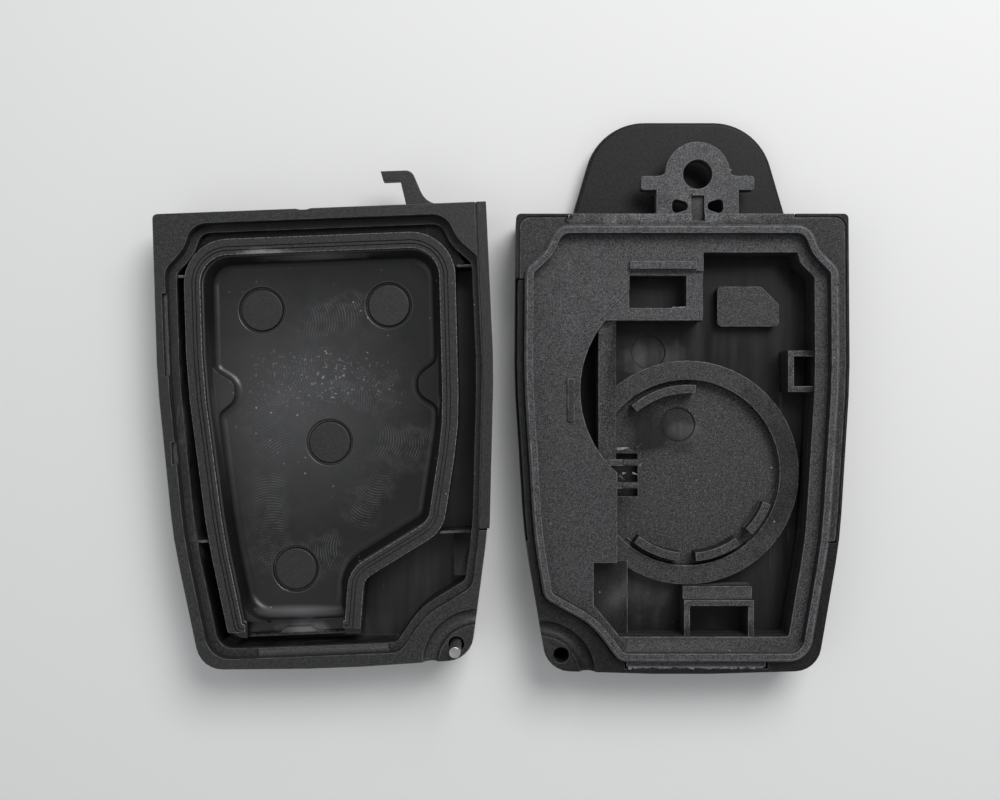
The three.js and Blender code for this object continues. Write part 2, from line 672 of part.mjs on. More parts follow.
// Inside of the tray's wall, with the corners of a post let into each side wall
function bowlCorners(wall) {
  const [footLeft, footRight, inElbow, inKnee, inHip, topRight, topLeft, inShoulder, inWaist] = wall;
  const at = ([lowU, lowV], [highU, highV], v) => THREE.MathUtils.mapLinear(v, lowV, highV, lowU, highU);
  const middle = TOP - POST_FROM_TOP;
  const [rootLow, rootHigh] = [middle - POST_WIDTH / 2, middle + POST_WIDTH / 2];
  const [tipLow, tipHigh] = [middle - POST_TIP / 2, middle + POST_TIP / 2];
  const rightTip = at(inHip, topRight, middle) - POST_REACH;
  const leftTip = at(inWaist, inShoulder, middle) + POST_REACH;
  return [
    footLeft,
    footRight,
    inElbow,
    inKnee,
    inHip,
    [at(inHip, topRight, rootLow), rootLow, POST_FLARE],
    [rightTip, tipLow, POST_ROUND],
    [rightTip, tipHigh, POST_ROUND],
    [at(inHip, topRight, rootHigh), rootHigh, POST_FLARE],
    topRight,
    topLeft,
    [at(inShoulder, topLeft, rootHigh), rootHigh, POST_FLARE],
    [leftTip, tipHigh, POST_ROUND],
    [leftTip, tipLow, POST_ROUND],
    [at(inWaist, inShoulder, rootLow), rootLow, POST_FLARE],
    inWaist,
  ];
}

// Wedge-shaped board tab that stands on a wall and reaches inward: down from the top, or up from the foot.
function trayTab(middle, length, wall, reach, inward) {
  const corners = [
    [middle - length / 2, wall],
    [middle + length / 2, wall],
    [middle + length / 2 - TAB_SLANT, wall + inward * reach],
    [middle - length / 2 + TAB_SLANT, wall + inward * reach],
  ];
  return prism(outline(inward > 0 ? corners : corners.reverse()), trayFloorBottom, HALF_HEIGHT - TAB_DROP);
}

function keypadTray() {
  const bottom = FRONT_FLOOR + SEAT_GAP;
  const postTop = HALF_HEIGHT - POST_DROP;
  const wall = drawIn(trayCorners, SEAL_WIDTH);

  // The wall leans out from the floor's fillet to its top
  const leanFrom = trayFloorTop + TRAY_FILLET;
  const lean = (z) => [THREE.MathUtils.mapLinear(z, leanFrom, trayWallTop, WALL_DRAFT, 0), z];
  const fillet = roundedEdge(TRAY_FILLET, trayFloorTop).map(([inset, z]) => [WALL_DRAFT + inset, z]);
  const lowBowl = loft(bowlCorners(wall), [...fillet, lean(postTop)]);
  const highBowl = loft(wall, [lean(postTop - OVERLAP), lean(trayWallTop + PAST)]);
  const overPosts = highBowl.subtract(block(-TOP, TOP, BOTTOM, TOP, 0, postTop));
  const relief = prism(outline(trayCorners, TRAY_SKIRT), bottom - PAST, trayFloorBottom);
  const shell = prism(outline(trayCorners), bottom, trayWallTop).subtract(join(lowBowl, overPosts, relief));

  // The wall is lower along the foot, between the legs of the seal
  const footWall = block(
    wellLeft(trayFoot) + CHANNEL_FOOT + SEAL_WIDTH,
    elbow.u - FOOT_LEAN - SEAL_WIDTH,
    trayFoot - PAST,
    trayFoot + SEAL_WIDTH + OVERLAP,
    HALF_HEIGHT - FOOT_WALL_DROP,
    HALF_HEIGHT,
  );
  const tabs = [
    trayTab(-TAB_LEFT, TAB_LENGTH, trayTop - SEAL_WIDTH / 2, TAB_REACH, -1),
    trayTab(-TAB_FOOT_LEFT, TAB_FOOT_LENGTH, trayFoot + TAB_FOOT_UP, TAB_FOOT_REACH, 1),
  ];
  const holes = Object.values(buttons).map(([u, v]) =>
    drum(PLUNGER_RADIUS + PLUNGER_GAP, 0, trayFloorTop + PAST, u, v),
  );
  return shell.subtract(footWall).add(join(...tabs)).subtract(join(...holes));
}

function perimeterSeal() {
  const band = ring(trayCorners, 0, SEAL_WIDTH, sealBottom, sealTop);
  const grooves = SEAL_GROOVES.map((inset) =>
    ring(trayCorners, inset, inset + SEAL_GROOVE_WIDTH, sealTop - SEAL_GROOVE_DEPTH, sealTop + PAST),
  );
  const end = trayFoot + SEAL_LEG_END;
  const between = block(
    wellLeft(trayFoot) + CHANNEL_FOOT + SEAL_WIDTH,
    elbow.u - FOOT_LEAN - SEAL_WIDTH,
    trayFoot - PAST,
    trayFoot + SEAL_WIDTH + PAST,
    sealBottom - PAST,
    sealTop + PAST,
  );
  const gap = block(-TOP_WIDTH, TOP_WIDTH, BOTTOM, end, sealBottom - PAST, sealTop + PAST);
  return band.subtract(join(...grooves, gap, between));
}

function button(at) {
  const corners = capCorners(at);
  const [u, v] = at;
  const cap = loft(corners, [...roundedEdge(CAP_CROWN, CAP_RECESS), [0, flangeTop]]);
  const flange = prism(outline(corners, -FLANGE_REACH), flangeBottom, flangeTop);
  return join(cap, flange, drum(PLUNGER_RADIUS, flangeBottom, trayFloorTop, u, v));
}

const lanyardPin = () => drum(PIN_RADIUS, PIN_SEAT, HALF_HEIGHT + PIN_REACH, -pinAt.u, pinAt.v, PIN_SIDES);

// Room for the housing's wings, which lie on the cover's sill inside its thin outer wall, along the top
// and down the right side, and for the catch at the housing's foot. The gap is left all round them.
// Between the corners of the top there is no outer wall, and the wing ends flush with the cover.
function wingRoom(gap, bottom, top) {
  const plate = prism(outline(bodyCorners(WING_CORNER), WING_INSET - gap), bottom, top);
  const rightSide = block(0, TOP_WIDTH, TOP - WING_END_FROM_TOP - gap, TOP, bottom, top);
  const gusset = block(-TOP_WIDTH, PAST, TOP - GUSSET_LENGTH - gap, TOP, bottom, top);
  const halfTop = WING_TOP_WIDTH / 2 + gap;
  const flush = block(-halfTop, halfTop, TOP - RIM, TOP + gap, bottom, top);
  return plate.intersect(rightSide.add(gusset)).add(flush);
}
const catchRoom = (gap, bottom, top) =>
  block(-CATCH_LEFT - gap, CATCH_RIGHT + gap, BOTTOM + CATCH_INSET - gap, BOTTOM / 2, bottom, top);

function backCover() {
  const over = HALF_HEIGHT + PAST;
  const dome = [
    [DOME_U - DOME_BASE_WIDTH / 2, TOP - DOME_ROOT],
    [DOME_U + DOME_BASE_WIDTH / 2, TOP - DOME_ROOT],
    [DOME_U + DOME_TOP_WIDTH / 2, TOP + DOME_LENGTH, DOME_CORNER],
    [DOME_U - DOME_TOP_WIDTH / 2, TOP + DOME_LENGTH, DOME_CORNER],
  ];
  const tray = loft(bodyCorners(), [...roundedEdge(OUTER_EDGE, 0), [0, HALF_HEIGHT]]);
  const room = prism(outline(cavityCorners(), LIP_CLEARANCE - SEAM_GAP), COVER_FLOOR, over);
  const wingSeat = wingRoom(SEAM_GAP, COVER_SILL, over);
  const catchSeat = catchRoom(SEAM_GAP, COVER_SILL, over);
  const outerBand = ring(bodyCorners(), -PAST, SIDE_RECESS, SIDE_RECESS_BOTTOM, over);
  const sideRecess = outerBand.intersect(
    block(-TOP_WIDTH, BOTTOM / 2, TOP - WING_END_FROM_TOP, TOP - GUSSET_LENGTH, 0, over),
  );
  const pinHole = drum(
    PIN_RADIUS + SIDE_GAP,
    HALF_HEIGHT - PIN_REACH - PIN_TIP_GAP,
    over,
    pinAt.u,
    pinAt.v,
    PIN_SIDES,
  );
  const domeLevels = [
    ...roundedEdge(OUTER_EDGE, 0),
    ...roundedEdge(DOME_TOP_EDGE, DOME_THICKNESS, -1).reverse(),
  ];
  return join(tray, loft(dome, domeLevels)).subtract(
    join(room, wingSeat, catchSeat, sideRecess, pinHole, tunnel(1)),
  );
}

function keyTab() {
  const top = HALF_HEIGHT - TAB_TOP_DROP;
  const bottom = top - TAB_THICKNESS;
  const eyeV = TOP + EYE_FROM_TOP;
  const earTop = TOP + EAR_FROM_TOP;
  const ears = [
    [TAB_U - EAR_SPAN / 2, earTop - EAR_WIDTH, EAR_CORNER],
    [TAB_U + EAR_SPAN / 2, earTop - EAR_WIDTH, EAR_CORNER],
    [TAB_U + EAR_SPAN / 2, earTop, EAR_CORNER],
    [TAB_U + EYE_ARCH, earTop, EAR_FLARE],
    [TAB_U + EYE_ARCH - EAR_FLARE / 2, eyeV + EAR_FLARE],
    [TAB_U - EYE_ARCH + EAR_FLARE / 2, eyeV + EAR_FLARE],
    [TAB_U - EYE_ARCH, earTop, EAR_FLARE],
    [TAB_U - EAR_SPAN / 2, earTop, EAR_CORNER],
  ];
  const left = TAB_U - TAB_BODY_WIDTH / 2;
  const body = block(left, left + TAB_BODY_WIDTH, TOP - TAB_ROOT, earTop - EAR_WIDTH / 2, bottom, top);
  const whole = join(body, prism(outline(ears), bottom, top), drum(EYE_ARCH, bottom, top, TAB_U, eyeV));
  const core = [
    [CORE_INNER + CORE_WIDTH, TOP, CORE_CORNER],
    [CORE_INNER + CORE_WIDTH, TOP + CORE_LENGTH, CORE_CORNER],
    [CORE_INNER, TOP + (CORE_LENGTH + CORE_NOSE) / 2, CORE_CORNER],
    [CORE_INNER, TOP + (CORE_LENGTH - CORE_NOSE) / 2, CORE_CORNER],
  ];
  const cores = [core, mirrored(core)].map((corners) =>
    prism(outline(corners.map(([u, v, radius]) => [TAB_U + u, v, radius])), bottom - PAST, top + PAST),
  );
  const eye = drum(EYE_RADIUS, bottom - PAST, top + PAST, TAB_U, eyeV);
  return whole.subtract(join(eye, ...cores));
}

function rearHousing() {
  const cavity = cavityCorners();
  const lipTop = HALF_HEIGHT + LIP_HEIGHT;
  const over = lipTop + PAST;
  const foot = COVER_FLOOR + SEAT_GAP;
  const sill = COVER_SILL + SEAT_GAP;
  const floor = foot + HOUSING_FLOOR;
  const plateau = HALF_HEIGHT - PLATEAU_DROP;
  const lipInner = LIP_CLEARANCE + LIP_WIDTH;
  const core = prism(outline(cavity, LIP_CLEARANCE), foot, HALF_HEIGHT);
  const foil = join(wingRoom(0, sill, HALF_HEIGHT), catchRoom(0, sill, HALF_HEIGHT - OVERLAP));
  const inside = prism(outline(cavity, lipInner), plateau, over);
  const lipLevels = [
    [LIP_CLEARANCE, plateau],
    [LIP_CLEARANCE, lipTop - LIP_BREAK],
    [LIP_CLEARANCE + LIP_BREAK, lipTop],
  ];
  const lip = loft(cavity, lipLevels).subtract(inside);

  // Deep pocket right of the plateau, leaving the window block at its upper left
  const cell = { u: BATTERY_U, v: BOTTOM + BATTERY_FROM_BOTTOM };
  const recessHigh = BOTTOM + RECESS_FROM_BOTTOM;
  const blockLow = TOP - BLOCK_FROM_TOP;
  const pocketLow = BOTTOM + POCKET_FROM_BOTTOM;
  const pocketHigh = TOP - POCKET_FROM_TOP;
  const pocketRight = (v) => sideAt(v) - RIM - lipInner - SHELF_INSET;
  const chamferV = pocketHigh - POCKET_CHAMFER_DOWN;
  const chamferU = pocketRight(chamferV) - POCKET_CHAMFER_ACROSS;
  const pocketCorners = [
    [LOWER_EDGE, pocketLow],
    [pocketRight(pocketLow), pocketLow, POCKET_CORNER],
    [pocketRight(WAIST), WAIST, SIDE_SWEEP],
    [pocketRight(SHOULDER), SHOULDER, SIDE_SWEEP],
    [pocketRight(chamferV), chamferV, POCKET_CORNER],
    [chamferU + POCKET_CORNER, pocketHigh - POCKET_CHAMFER_STEP, POCKET_CORNER],
    [chamferU, pocketHigh],
    [BLOCK_RIGHT, pocketHigh],
    [BLOCK_RIGHT, blockLow],
    [PLATEAU_EDGE, blockLow],
    [PLATEAU_EDGE, recessHigh],
    [LOWER_EDGE, recessHigh],
  ];
  const pocket = prism(outline(pocketCorners), floor, over);
  const recessCorners = [
    [RECESS_LEFT, recessHigh],
    [RECESS_LEFT, pocketLow + RECESS_CORNER],
    [RECESS_LEFT + RECESS_ACROSS, pocketLow],
    [LOWER_EDGE + OVERLAP, pocketLow],
    [LOWER_EDGE + OVERLAP, recessHigh],
  ];
  const recess = prism(outline(recessCorners), plateau - RECESS_DROP, over);
  const crescentV = TOP - CRESCENT_FROM_TOP;
  const crescent = drum(CRESCENT_RADIUS, floor, over, cell.u, crescentV, 2 * ROUND_SIDES).intersect(
    block(-TOP_WIDTH, PLATEAU_EDGE + OVERLAP, BOTTOM, blockLow, 0, over),
  );
  const windowHigh = TOP - WINDOW_FROM_TOP;
  const windowLow = windowHigh - WINDOW_LENGTH;
  const window = block(WINDOW_LEFT, WINDOW_RIGHT, windowLow, windowHigh, plateau - WINDOW_DEPTH, over);
  const blockStep = [
    [WINDOW_LEFT - BLOCK_SLANT, blockLow - OVERLAP],
    [BLOCK_RIGHT + OVERLAP, blockLow - OVERLAP],
    [BLOCK_RIGHT + OVERLAP, windowHigh + WINDOW_BAR / 2],
    [WINDOW_LEFT, windowHigh + WINDOW_BAR / 2],
    [WINDOW_LEFT, blockLow + BLOCK_SLANT],
  ];
  const blockTop = prism(outline(blockStep), plateau - BLOCK_DROP, over);

  // The battery lies on a low step, its left edge under the plateau, held by four springy tabs
  const pocketFloor = floor + POCKET_STEP;
  const retainerInner = BATTERY_RADIUS + BATTERY_PLAY;
  const pocketRadius = retainerInner + RETAINER_WIDTH + RETAINER_SLIT;
  const cellTop = pocketFloor + BATTERY_HEIGHT + BATTERY_PLAY;
  const cellRoom = drum(pocketRadius, pocketFloor, cellTop, cell.u, cell.v, 2 * ROUND_SIDES);
  const ringTop = floor + RING_HEIGHT;
  const collar = drum(pocketRadius + RING_WIDTH, foot, ringTop, cell.u, cell.v, 2 * ROUND_SIDES)
    .intersect(block(PLATEAU_EDGE - OVERLAP, TOP_WIDTH, BOTTOM, TOP, 0, over))
    .intersect(core);
  const retainers = RETAINERS.map(([from, to]) =>
    sector(retainerInner, retainerInner + RETAINER_WIDTH, from, to, floor, pocketFloor + RETAINER_HEIGHT)
      .translate(cell.u, cell.v, 0),
  );
  const fingers = [0, 1].map((k) => {
    const high = cell.v + FINGER_ABOVE - k * FINGER_PITCH;
    const reach = PLATEAU_EDGE + FINGER_LENGTH;
    return block(PLATEAU_EDGE - FINGER_LENGTH, reach, high - FINGER_WIDTH, high, cellTop, plateau);
  });
  const fingerWindow = block(
    PLATEAU_EDGE,
    PLATEAU_EDGE + FINGER_WINDOW,
    cell.v - FINGER_WINDOW_BELOW,
    cell.v + FINGER_WINDOW_ABOVE,
    foot - PAST,
    cellTop,
  );

  // Smaller features standing on the floor and on the plateau
  const barTop = plateau - CRESCENT_BAR_DROP;
  const bar = block(
    PLATEAU_EDGE - CRESCENT_BAR,
    PLATEAU_EDGE,
    crescentV - CRESCENT_RADIUS,
    blockLow + OVERLAP,
    foot,
    barTop,
  ).intersect(drum(CRESCENT_RADIUS + OVERLAP, foot, barTop, cell.u, crescentV, 2 * ROUND_SIDES));
  const windowBar = block(
    WINDOW_LEFT,
    BLOCK_RIGHT - WINDOW_BAR,
    windowHigh + WINDOW_BAR_ABOVE,
    windowHigh + WINDOW_BAR_ABOVE + WINDOW_BAR,
    plateau - OVERLAP,
    plateau + WINDOW_BAR_RISE,
  );
  const ridgeHigh = TOP - RIDGE_FROM_TOP;
  const ridge = block(
    RIDGE_LEFT - RIDGE_WIDTH / 2,
    RIDGE_LEFT + RIDGE_WIDTH / 2,
    ridgeHigh - RIDGE_LENGTH,
    ridgeHigh,
    plateau - OVERLAP,
    plateau + RIDGE_RISE,
  );
  const padHigh = TOP - PAD_FROM_TOP;
  const padLow = padHigh - PAD_LENGTH;
  const padCorners = [
    [PAD_RIGHT - PAD_WIDTH, padLow, PAD_CORNER],
    [PAD_RIGHT, padLow, PAD_CORNER],
    [PAD_RIGHT, padHigh - PAD_CHAMFER, PAD_CORNER],
    [PAD_RIGHT - PAD_CHAMFER, padHigh, PAD_CORNER],
    [PAD_RIGHT - PAD_WIDTH, padHigh, PAD_CORNER],
  ];
  const pad = prism(outline(padCorners), foot, floor + PAD_HEIGHT);
  const clipTop = floor + CLIP_HEIGHT;
  const sideHigh = TOP - SIDE_CLIP_FROM_TOP;
  const sideLow = sideHigh - SIDE_CLIP_LENGTH;
  const [sideIn, sideEnd] = [sideLow + CLIP_WALL, sideHigh - CLIP_WALL];
  const sideClip = block(SIDE_CLIP_LEFT, TOP_WIDTH / 2, sideLow, sideHigh, foot, clipTop)
    .subtract(block(SIDE_CLIP_LEFT + CLIP_WALL, TOP_WIDTH, sideIn, sideEnd, floor, over))
    .intersect(core);
  const footHigh = BOTTOM + FOOT_CLIP_FROM_BOTTOM;
  const footRight = FOOT_CLIP_LEFT + FOOT_CLIP_WIDTH;
  const footBar = footHigh - FOOT_CLIP_STEP;
  const [footIn, footEnd] = [FOOT_CLIP_LEFT + CLIP_WALL, footRight - CLIP_WALL];
  const footClip = block(FOOT_CLIP_LEFT, footRight, BOTTOM, footHigh, foot, clipTop)
    .subtract(block(-TOP, TOP, footBar, footHigh + PAST, clipTop - FOOT_CLIP_STEP_DROP, over))
    .subtract(block(footIn, footEnd, pocketLow, footBar - CLIP_WALL, floor, over))
    .intersect(core);
  const ejector = (face, u, v) => drum(EJECTOR_RADIUS, face - EJECTOR_DEPTH, face + OVERLAP, u, v);
  const floorMark = ejector(floor, -EJECTOR_LEFT, blockLow - EJECTOR_BELOW_BLOCK);
  const seatMark = ejector(pocketFloor, cell.u - EJECTOR_FROM_CELL, cell.v + EJECTOR_ABOVE_CELL);
  const slot = block(
    TAB_U - SLOT_WIDTH / 2,
    TAB_U + SLOT_WIDTH / 2,
    TOP - SLOT_BELOW,
    TOP + SLOT_ABOVE,
    HALF_HEIGHT - TAB_TOP_DROP - SLOT_DEPTH,
    over,
  );
  const stock = join(core, foil).subtract(inside).add(join(lip, keyTab()));
  const hollow = stock.subtract(join(pocket, recess, crescent, window, blockTop, floorMark)).add(collar);
  const details = join(...retainers, bar, windowBar, ridge, pad, sideClip, footClip, ...fingers);
  return hollow.subtract(cellRoom).add(details).subtract(join(seatMark, slot, fingerWindow));
}

const plastic = (color, roughness) => new THREE.MeshStandardMaterial({ color, roughness, metalness: 0 });
const steel = new THREE.MeshStandardMaterial({ color: 0xc9c7c0, roughness: 0.3, metalness: 1 });

const front = new THREE.Group();
front.add(
  asMesh("front_cover", frontCover(), plastic(0x1f2023, 0.55)),
  asMesh("side_trim", sideTrim(), plastic(0x232427, 0.5)),
  asMesh("keypad_tray", keypadTray(), plastic(0x242528, 0.5)),
  asMesh("perimeter_seal", perimeterSeal(), plastic(0x303135, 0.75)),
  asMesh("lanyard_pin", lanyardPin(), steel),
);
Object.entries(buttons).forEach(([name, at]) => {
  front.add(asMesh(name, button(at), plastic(0x26272a, 0.5)));
});
const halvesApart = Math.max(SHOULDER_WIDTH, TOP_WIDTH, WAIST_WIDTH) + HALVES_GAP;
front.position.set(-halvesApart / 2, FRONT_AHEAD / 2, 0);
front.rotation.z = THREE.MathUtils.degToRad(FRONT_TURN);

const rear = new THREE.Group();
rear.add(
  asMesh("rear_housing", rearHousing(), plastic(0x3a3b3e, 0.7)),
  asMesh("back_cover", backCover(), plastic(0x1d1e21, 0.6)),
);
rear.position.set(halvesApart / 2, -FRONT_AHEAD / 2, 0);

// The origin is on the table, at the middle of the box round both halves
const layout = new THREE.Group();
layout.add(front, rear);
const box = new THREE.Box3().setFromObject(layout, true);
const middle = box.getCenter(new THREE.Vector3());
layout.position.set(-middle.x, -middle.y, -box.min.z);

const shell = new THREE.Group();
shell.add(layout);

export default shell;
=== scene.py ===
import json
from math import cos, pi, radians, sin

import bmesh
import bpy
from mathutils import Matrix, Vector, noise


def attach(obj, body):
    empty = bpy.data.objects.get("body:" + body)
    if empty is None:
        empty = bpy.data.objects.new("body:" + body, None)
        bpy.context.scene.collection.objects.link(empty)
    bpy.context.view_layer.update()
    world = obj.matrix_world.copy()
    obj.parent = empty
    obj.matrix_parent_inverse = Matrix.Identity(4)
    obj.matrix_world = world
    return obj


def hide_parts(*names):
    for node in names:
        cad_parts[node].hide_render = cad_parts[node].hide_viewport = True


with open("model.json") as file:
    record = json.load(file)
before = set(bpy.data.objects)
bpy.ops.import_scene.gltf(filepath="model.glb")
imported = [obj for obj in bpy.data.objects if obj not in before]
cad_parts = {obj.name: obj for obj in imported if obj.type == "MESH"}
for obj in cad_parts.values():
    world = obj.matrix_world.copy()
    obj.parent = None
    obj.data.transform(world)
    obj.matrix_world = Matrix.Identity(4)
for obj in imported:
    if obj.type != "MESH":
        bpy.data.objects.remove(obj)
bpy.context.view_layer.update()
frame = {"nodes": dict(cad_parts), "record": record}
mm = 0.001

# Photograph's frame: straight down on both halves, seen from a short distance
shot = {
    "lens": 38.4,
    "sensorWidth": 36,
    "height": 142.5 * mm,
    "aim": (-0.12 * mm, -0.86 * mm),
    "nearest": 1 * mm,
}


def makeCamera():
    camera = bpy.data.cameras.new("shotCamera")
    camera.sensor_fit = "HORIZONTAL"
    camera.sensor_width = shot["sensorWidth"]
    camera.lens = shot["lens"]
    camera.clip_start = shot["nearest"]
    holder = bpy.data.objects.new("shotCamera", camera)
    holder.location = (*shot["aim"], shot["height"])
    bpy.context.collection.objects.link(holder)
    bpy.context.scene.camera = holder


studio = {
    "floorTint": (0.82, 0.82, 0.81, 1),
    "floorRough": 0.9,
    "floorSize": 1.2,
    "skyTint": (0.95, 0.97, 1.0, 1),
    "skyLevel": 0.36,
    "key": {"power": 0.92, "size": 0.2, "place": (0.12, 0.2, 0.27)},
    "fill": {"power": 0.3, "size": 0.5, "place": (-0.35, -0.1, 0.45)},
}


def makeStudio():
    bm = bmesh.new()
    bmesh.ops.create_grid(bm, x_segments=1, y_segments=1, size=studio["floorSize"])
    mesh = bpy.data.meshes.new("floor")
    bm.to_mesh(mesh)
    bm.free()
    floor = bpy.data.objects.new("floor", mesh)
    bpy.context.collection.objects.link(floor)
    paint = bpy.data.materials.new("paleFloor")
    paint.use_nodes = True
    shader = paint.node_tree.nodes["Principled BSDF"]
    shader.inputs["Base Color"].default_value = studio["floorTint"]
    shader.inputs["Roughness"].default_value = studio["floorRough"]
    mesh.materials.append(paint)

    world = bpy.data.worlds.new("studio")
    world.use_nodes = True
    sky = world.node_tree.nodes["Background"]
    sky.inputs["Color"].default_value = studio["skyTint"]
    sky.inputs["Strength"].default_value = studio["skyLevel"]
    bpy.context.scene.world = world
    for name in ("key", "fill"):
        lamp = bpy.data.lights.new(name, "AREA")
        lamp.size = studio[name]["size"]
        lamp.energy = studio[name]["power"]
        holder = bpy.data.objects.new(name, lamp)
        holder.location = studio[name]["place"]
        holder.rotation_euler = (-Vector(holder.location)).to_track_quat("-Z", "Y").to_euler()
        bpy.context.collection.objects.link(holder)


makeCamera()
makeStudio()
print("camera and studio ready")

# Where each half lies: its own middle on the table, and its turn. Places on a half are in millimetres from
# there, and the front half's mount stands off its middle.
mounts = {mount["name"]: Vector(mount["pos_m"]) for mount in frame["record"]["mounts"]}
frontLies = {"turn": radians(2.2), "mountOff": Vector((9, -9, 0))}
rearPlace = Matrix.Translation(mounts["back_face"]) @ Matrix.Scale(mm, 4)
frontPlace = (Matrix.Translation(mounts["front_face"]) @ Matrix.Rotation(frontLies["turn"], 4, "Z")
              @ Matrix.Translation(-frontLies["mountOff"] * mm) @ Matrix.Scale(mm, 4))


# Small helpers for shader trees: every pattern lies on Object coordinates, in metres. A span is the part of a
# pattern's range that is used.
spotEdge = {"noise": (300, 3, 0.6), "span": (0.3, 0.7)}
ringFade = {"core": 0.4, "heights": (0.3 * mm, 0.5 * mm)}
levelSpan = (0.25, 0.8)


class Finish:
    def __init__(self, name):
        self.material = bpy.data.materials.new(name)
        self.material.use_nodes = True
        self.tree = self.material.node_tree
        self.shader = self.tree.nodes["Principled BSDF"]
        self.place = self.node("TexCoord").outputs["Object"]
        self.wornAndHighlit = self.node("Attribute", attribute_name="edgeWearAndHighlight").outputs["Fac"]
        self.inner = self.node("Attribute", attribute_name="innerFace").outputs["Fac"]
        self.outer = self.sum("SUBTRACT", 1.0, self.inner)

    def node(self, kind, **settings):
        made = self.tree.nodes.new("ShaderNode" + kind)
        for key, value in settings.items():
            setattr(made, key, value)
        return made

    def feed(self, socket, value):
        if isinstance(value, bpy.types.NodeSocket):
            self.tree.links.new(value, socket)
        else:
            socket.default_value = value

    def noise(self, scale, detail=2.0, rough=0.5, place=None):
        made = self.node("TexNoise")
        self.feed(made.inputs["Vector"], place or self.place)
        made.inputs["Scale"].default_value = scale
        made.inputs["Detail"].default_value = detail
        made.inputs["Roughness"].default_value = rough
        return made.outputs["Fac"]

    # Distance to the nearest cell's middle, and a chance of its own for each cell
    def cells(self, scale):
        made = self.node("TexVoronoi")
        self.feed(made.inputs["Vector"], self.place)
        made.inputs["Scale"].default_value = scale
        split = self.node("SeparateColor")
        self.feed(split.inputs[0], made.outputs["Color"])
        return made.outputs["Distance"], split.outputs[0]

    def stretched(self, factors, turn=0.0, moved=(0, 0, 0)):
        made = self.node("Mapping")
        self.feed(made.inputs["Vector"], self.place)
        made.inputs["Location"].default_value = moved
        made.inputs["Rotation"].default_value = (0, 0, turn)
        made.inputs["Scale"].default_value = factors
        return made.outputs["Vector"]

    def axes(self, vector):
        made = self.node("SeparateXYZ")
        self.feed(made.inputs[0], vector)
        return made.outputs

    def vector(self, operation, first, second=None):
        made = self.node("VectorMath", operation=operation)
        self.feed(made.inputs[0], first)
        if second is not None:
            self.feed(made.inputs[1], second)
        return made.outputs

    def scaled(self, colour, factor):
        made = self.node("VectorMath", operation="SCALE")
        self.feed(made.inputs[0], colour)
        self.feed(made.inputs["Scale"], factor)
        return made.outputs[0]

    # One inside a ragged ellipsoid, nought outside it
    def spot(self, centre, reach, edge=0.55, uneven=0.3):
        inside = self.vector("DIVIDE", self.vector("SUBTRACT", self.place, centre)[0], reach)[0]
        far = self.vector("LENGTH", inside)["Value"]
        shift = self.spread(self.noise(*spotEdge["noise"]), *spotEdge["span"], -uneven, uneven)
        return self.spread(self.sum("ADD", far, shift), 1 - edge, 1, 1, 0)

    # A thin ring lying at the centre's height
    def ring(self, centre, radius, width):
        off = self.vector("SUBTRACT", self.place, centre)[0]
        far = self.vector("LENGTH", self.vector("MULTIPLY", off, (1, 1, 0))[0])["Value"]
        aside = self.sum("ABSOLUTE", self.sum("SUBTRACT", far, radius))
        above = self.sum("ABSOLUTE", self.axes(off)["Z"])
        return self.sum("MULTIPLY", self.spread(aside, width * ringFade["core"], width, 1, 0),
                        self.spread(above, *ringFade["heights"], 1, 0))

    # Tone and share of grain by height, in millimetres
    def levels(self, stops, ceiling=10.0, brightest=4.0):
        ramp = self.node("ValToRGB")
        self.feed(ramp.inputs["Fac"], self.sum("DIVIDE", self.height(), ceiling * mm))
        points = ramp.color_ramp.elements
        points[1].position = stops[-1][0] / ceiling
        for height, _, _ in stops[1:-1]:
            points.new(height / ceiling)
        # New points sort themselves in, so the colours come last
        for point, (_, tone, grained) in zip(points, stops):
            point.color = (tone / brightest, grained, 0, 1)
        split = self.node("SeparateColor")
        self.feed(split.inputs[0], ramp.outputs["Color"])
        return self.sum("MULTIPLY", split.outputs[0], brightest), split.outputs[1]

    # One on level faces, nought on upright walls
    def lying(self):
        normal = self.axes(self.node("NewGeometry").outputs["Normal"])
        return self.spread(self.sum("ABSOLUTE", normal["Z"]), *levelSpan)

    def spread(self, value, low, high, start=0.0, end=1.0):
        made = self.node("MapRange", clamp=True)
        self.feed(made.inputs["Value"], value)
        for socket, number in zip(("From Min", "From Max", "To Min", "To Max"), (low, high, start, end)):
            made.inputs[socket].default_value = number
        return made.outputs["Result"]

    def sum(self, operation, first, second=0.0):
        made = self.node("Math", operation=operation)
        self.feed(made.inputs[0], first)
        self.feed(made.inputs[1], second)
        return made.outputs["Value"]

    def product(self, *factors):
        whole = factors[0]
        for factor in factors[1:]:
            whole = self.sum("MULTIPLY", whole, factor)
        return whole

    def blend(self, first, share, second):
        return self.sum("ADD", self.product(first, 1 - share), self.product(second, share))

    def tint(self, amount, below, above):
        made = self.node("Mix", data_type="RGBA")
        self.feed(made.inputs["Factor"], amount)
        self.feed(made.inputs[6], below)
        self.feed(made.inputs[7], above)
        return made.outputs[2]

    def bump(self, height, distance, strength=1.0, under=None):
        made = self.node("Bump")
        self.feed(made.inputs["Height"], height)
        made.inputs["Distance"].default_value = distance
        made.inputs["Strength"].default_value = strength
        if under is not None:
            self.feed(made.inputs["Normal"], under)
        return made.outputs["Normal"]

    def height(self):
        return self.axes(self.place)["Z"]


# A neutral tone with a trace of blue, less of it the warmer it is
def grey(level, warmth=0.0):
    return (level * (1 + warmth), level, level * (1.03 - warmth), 1)


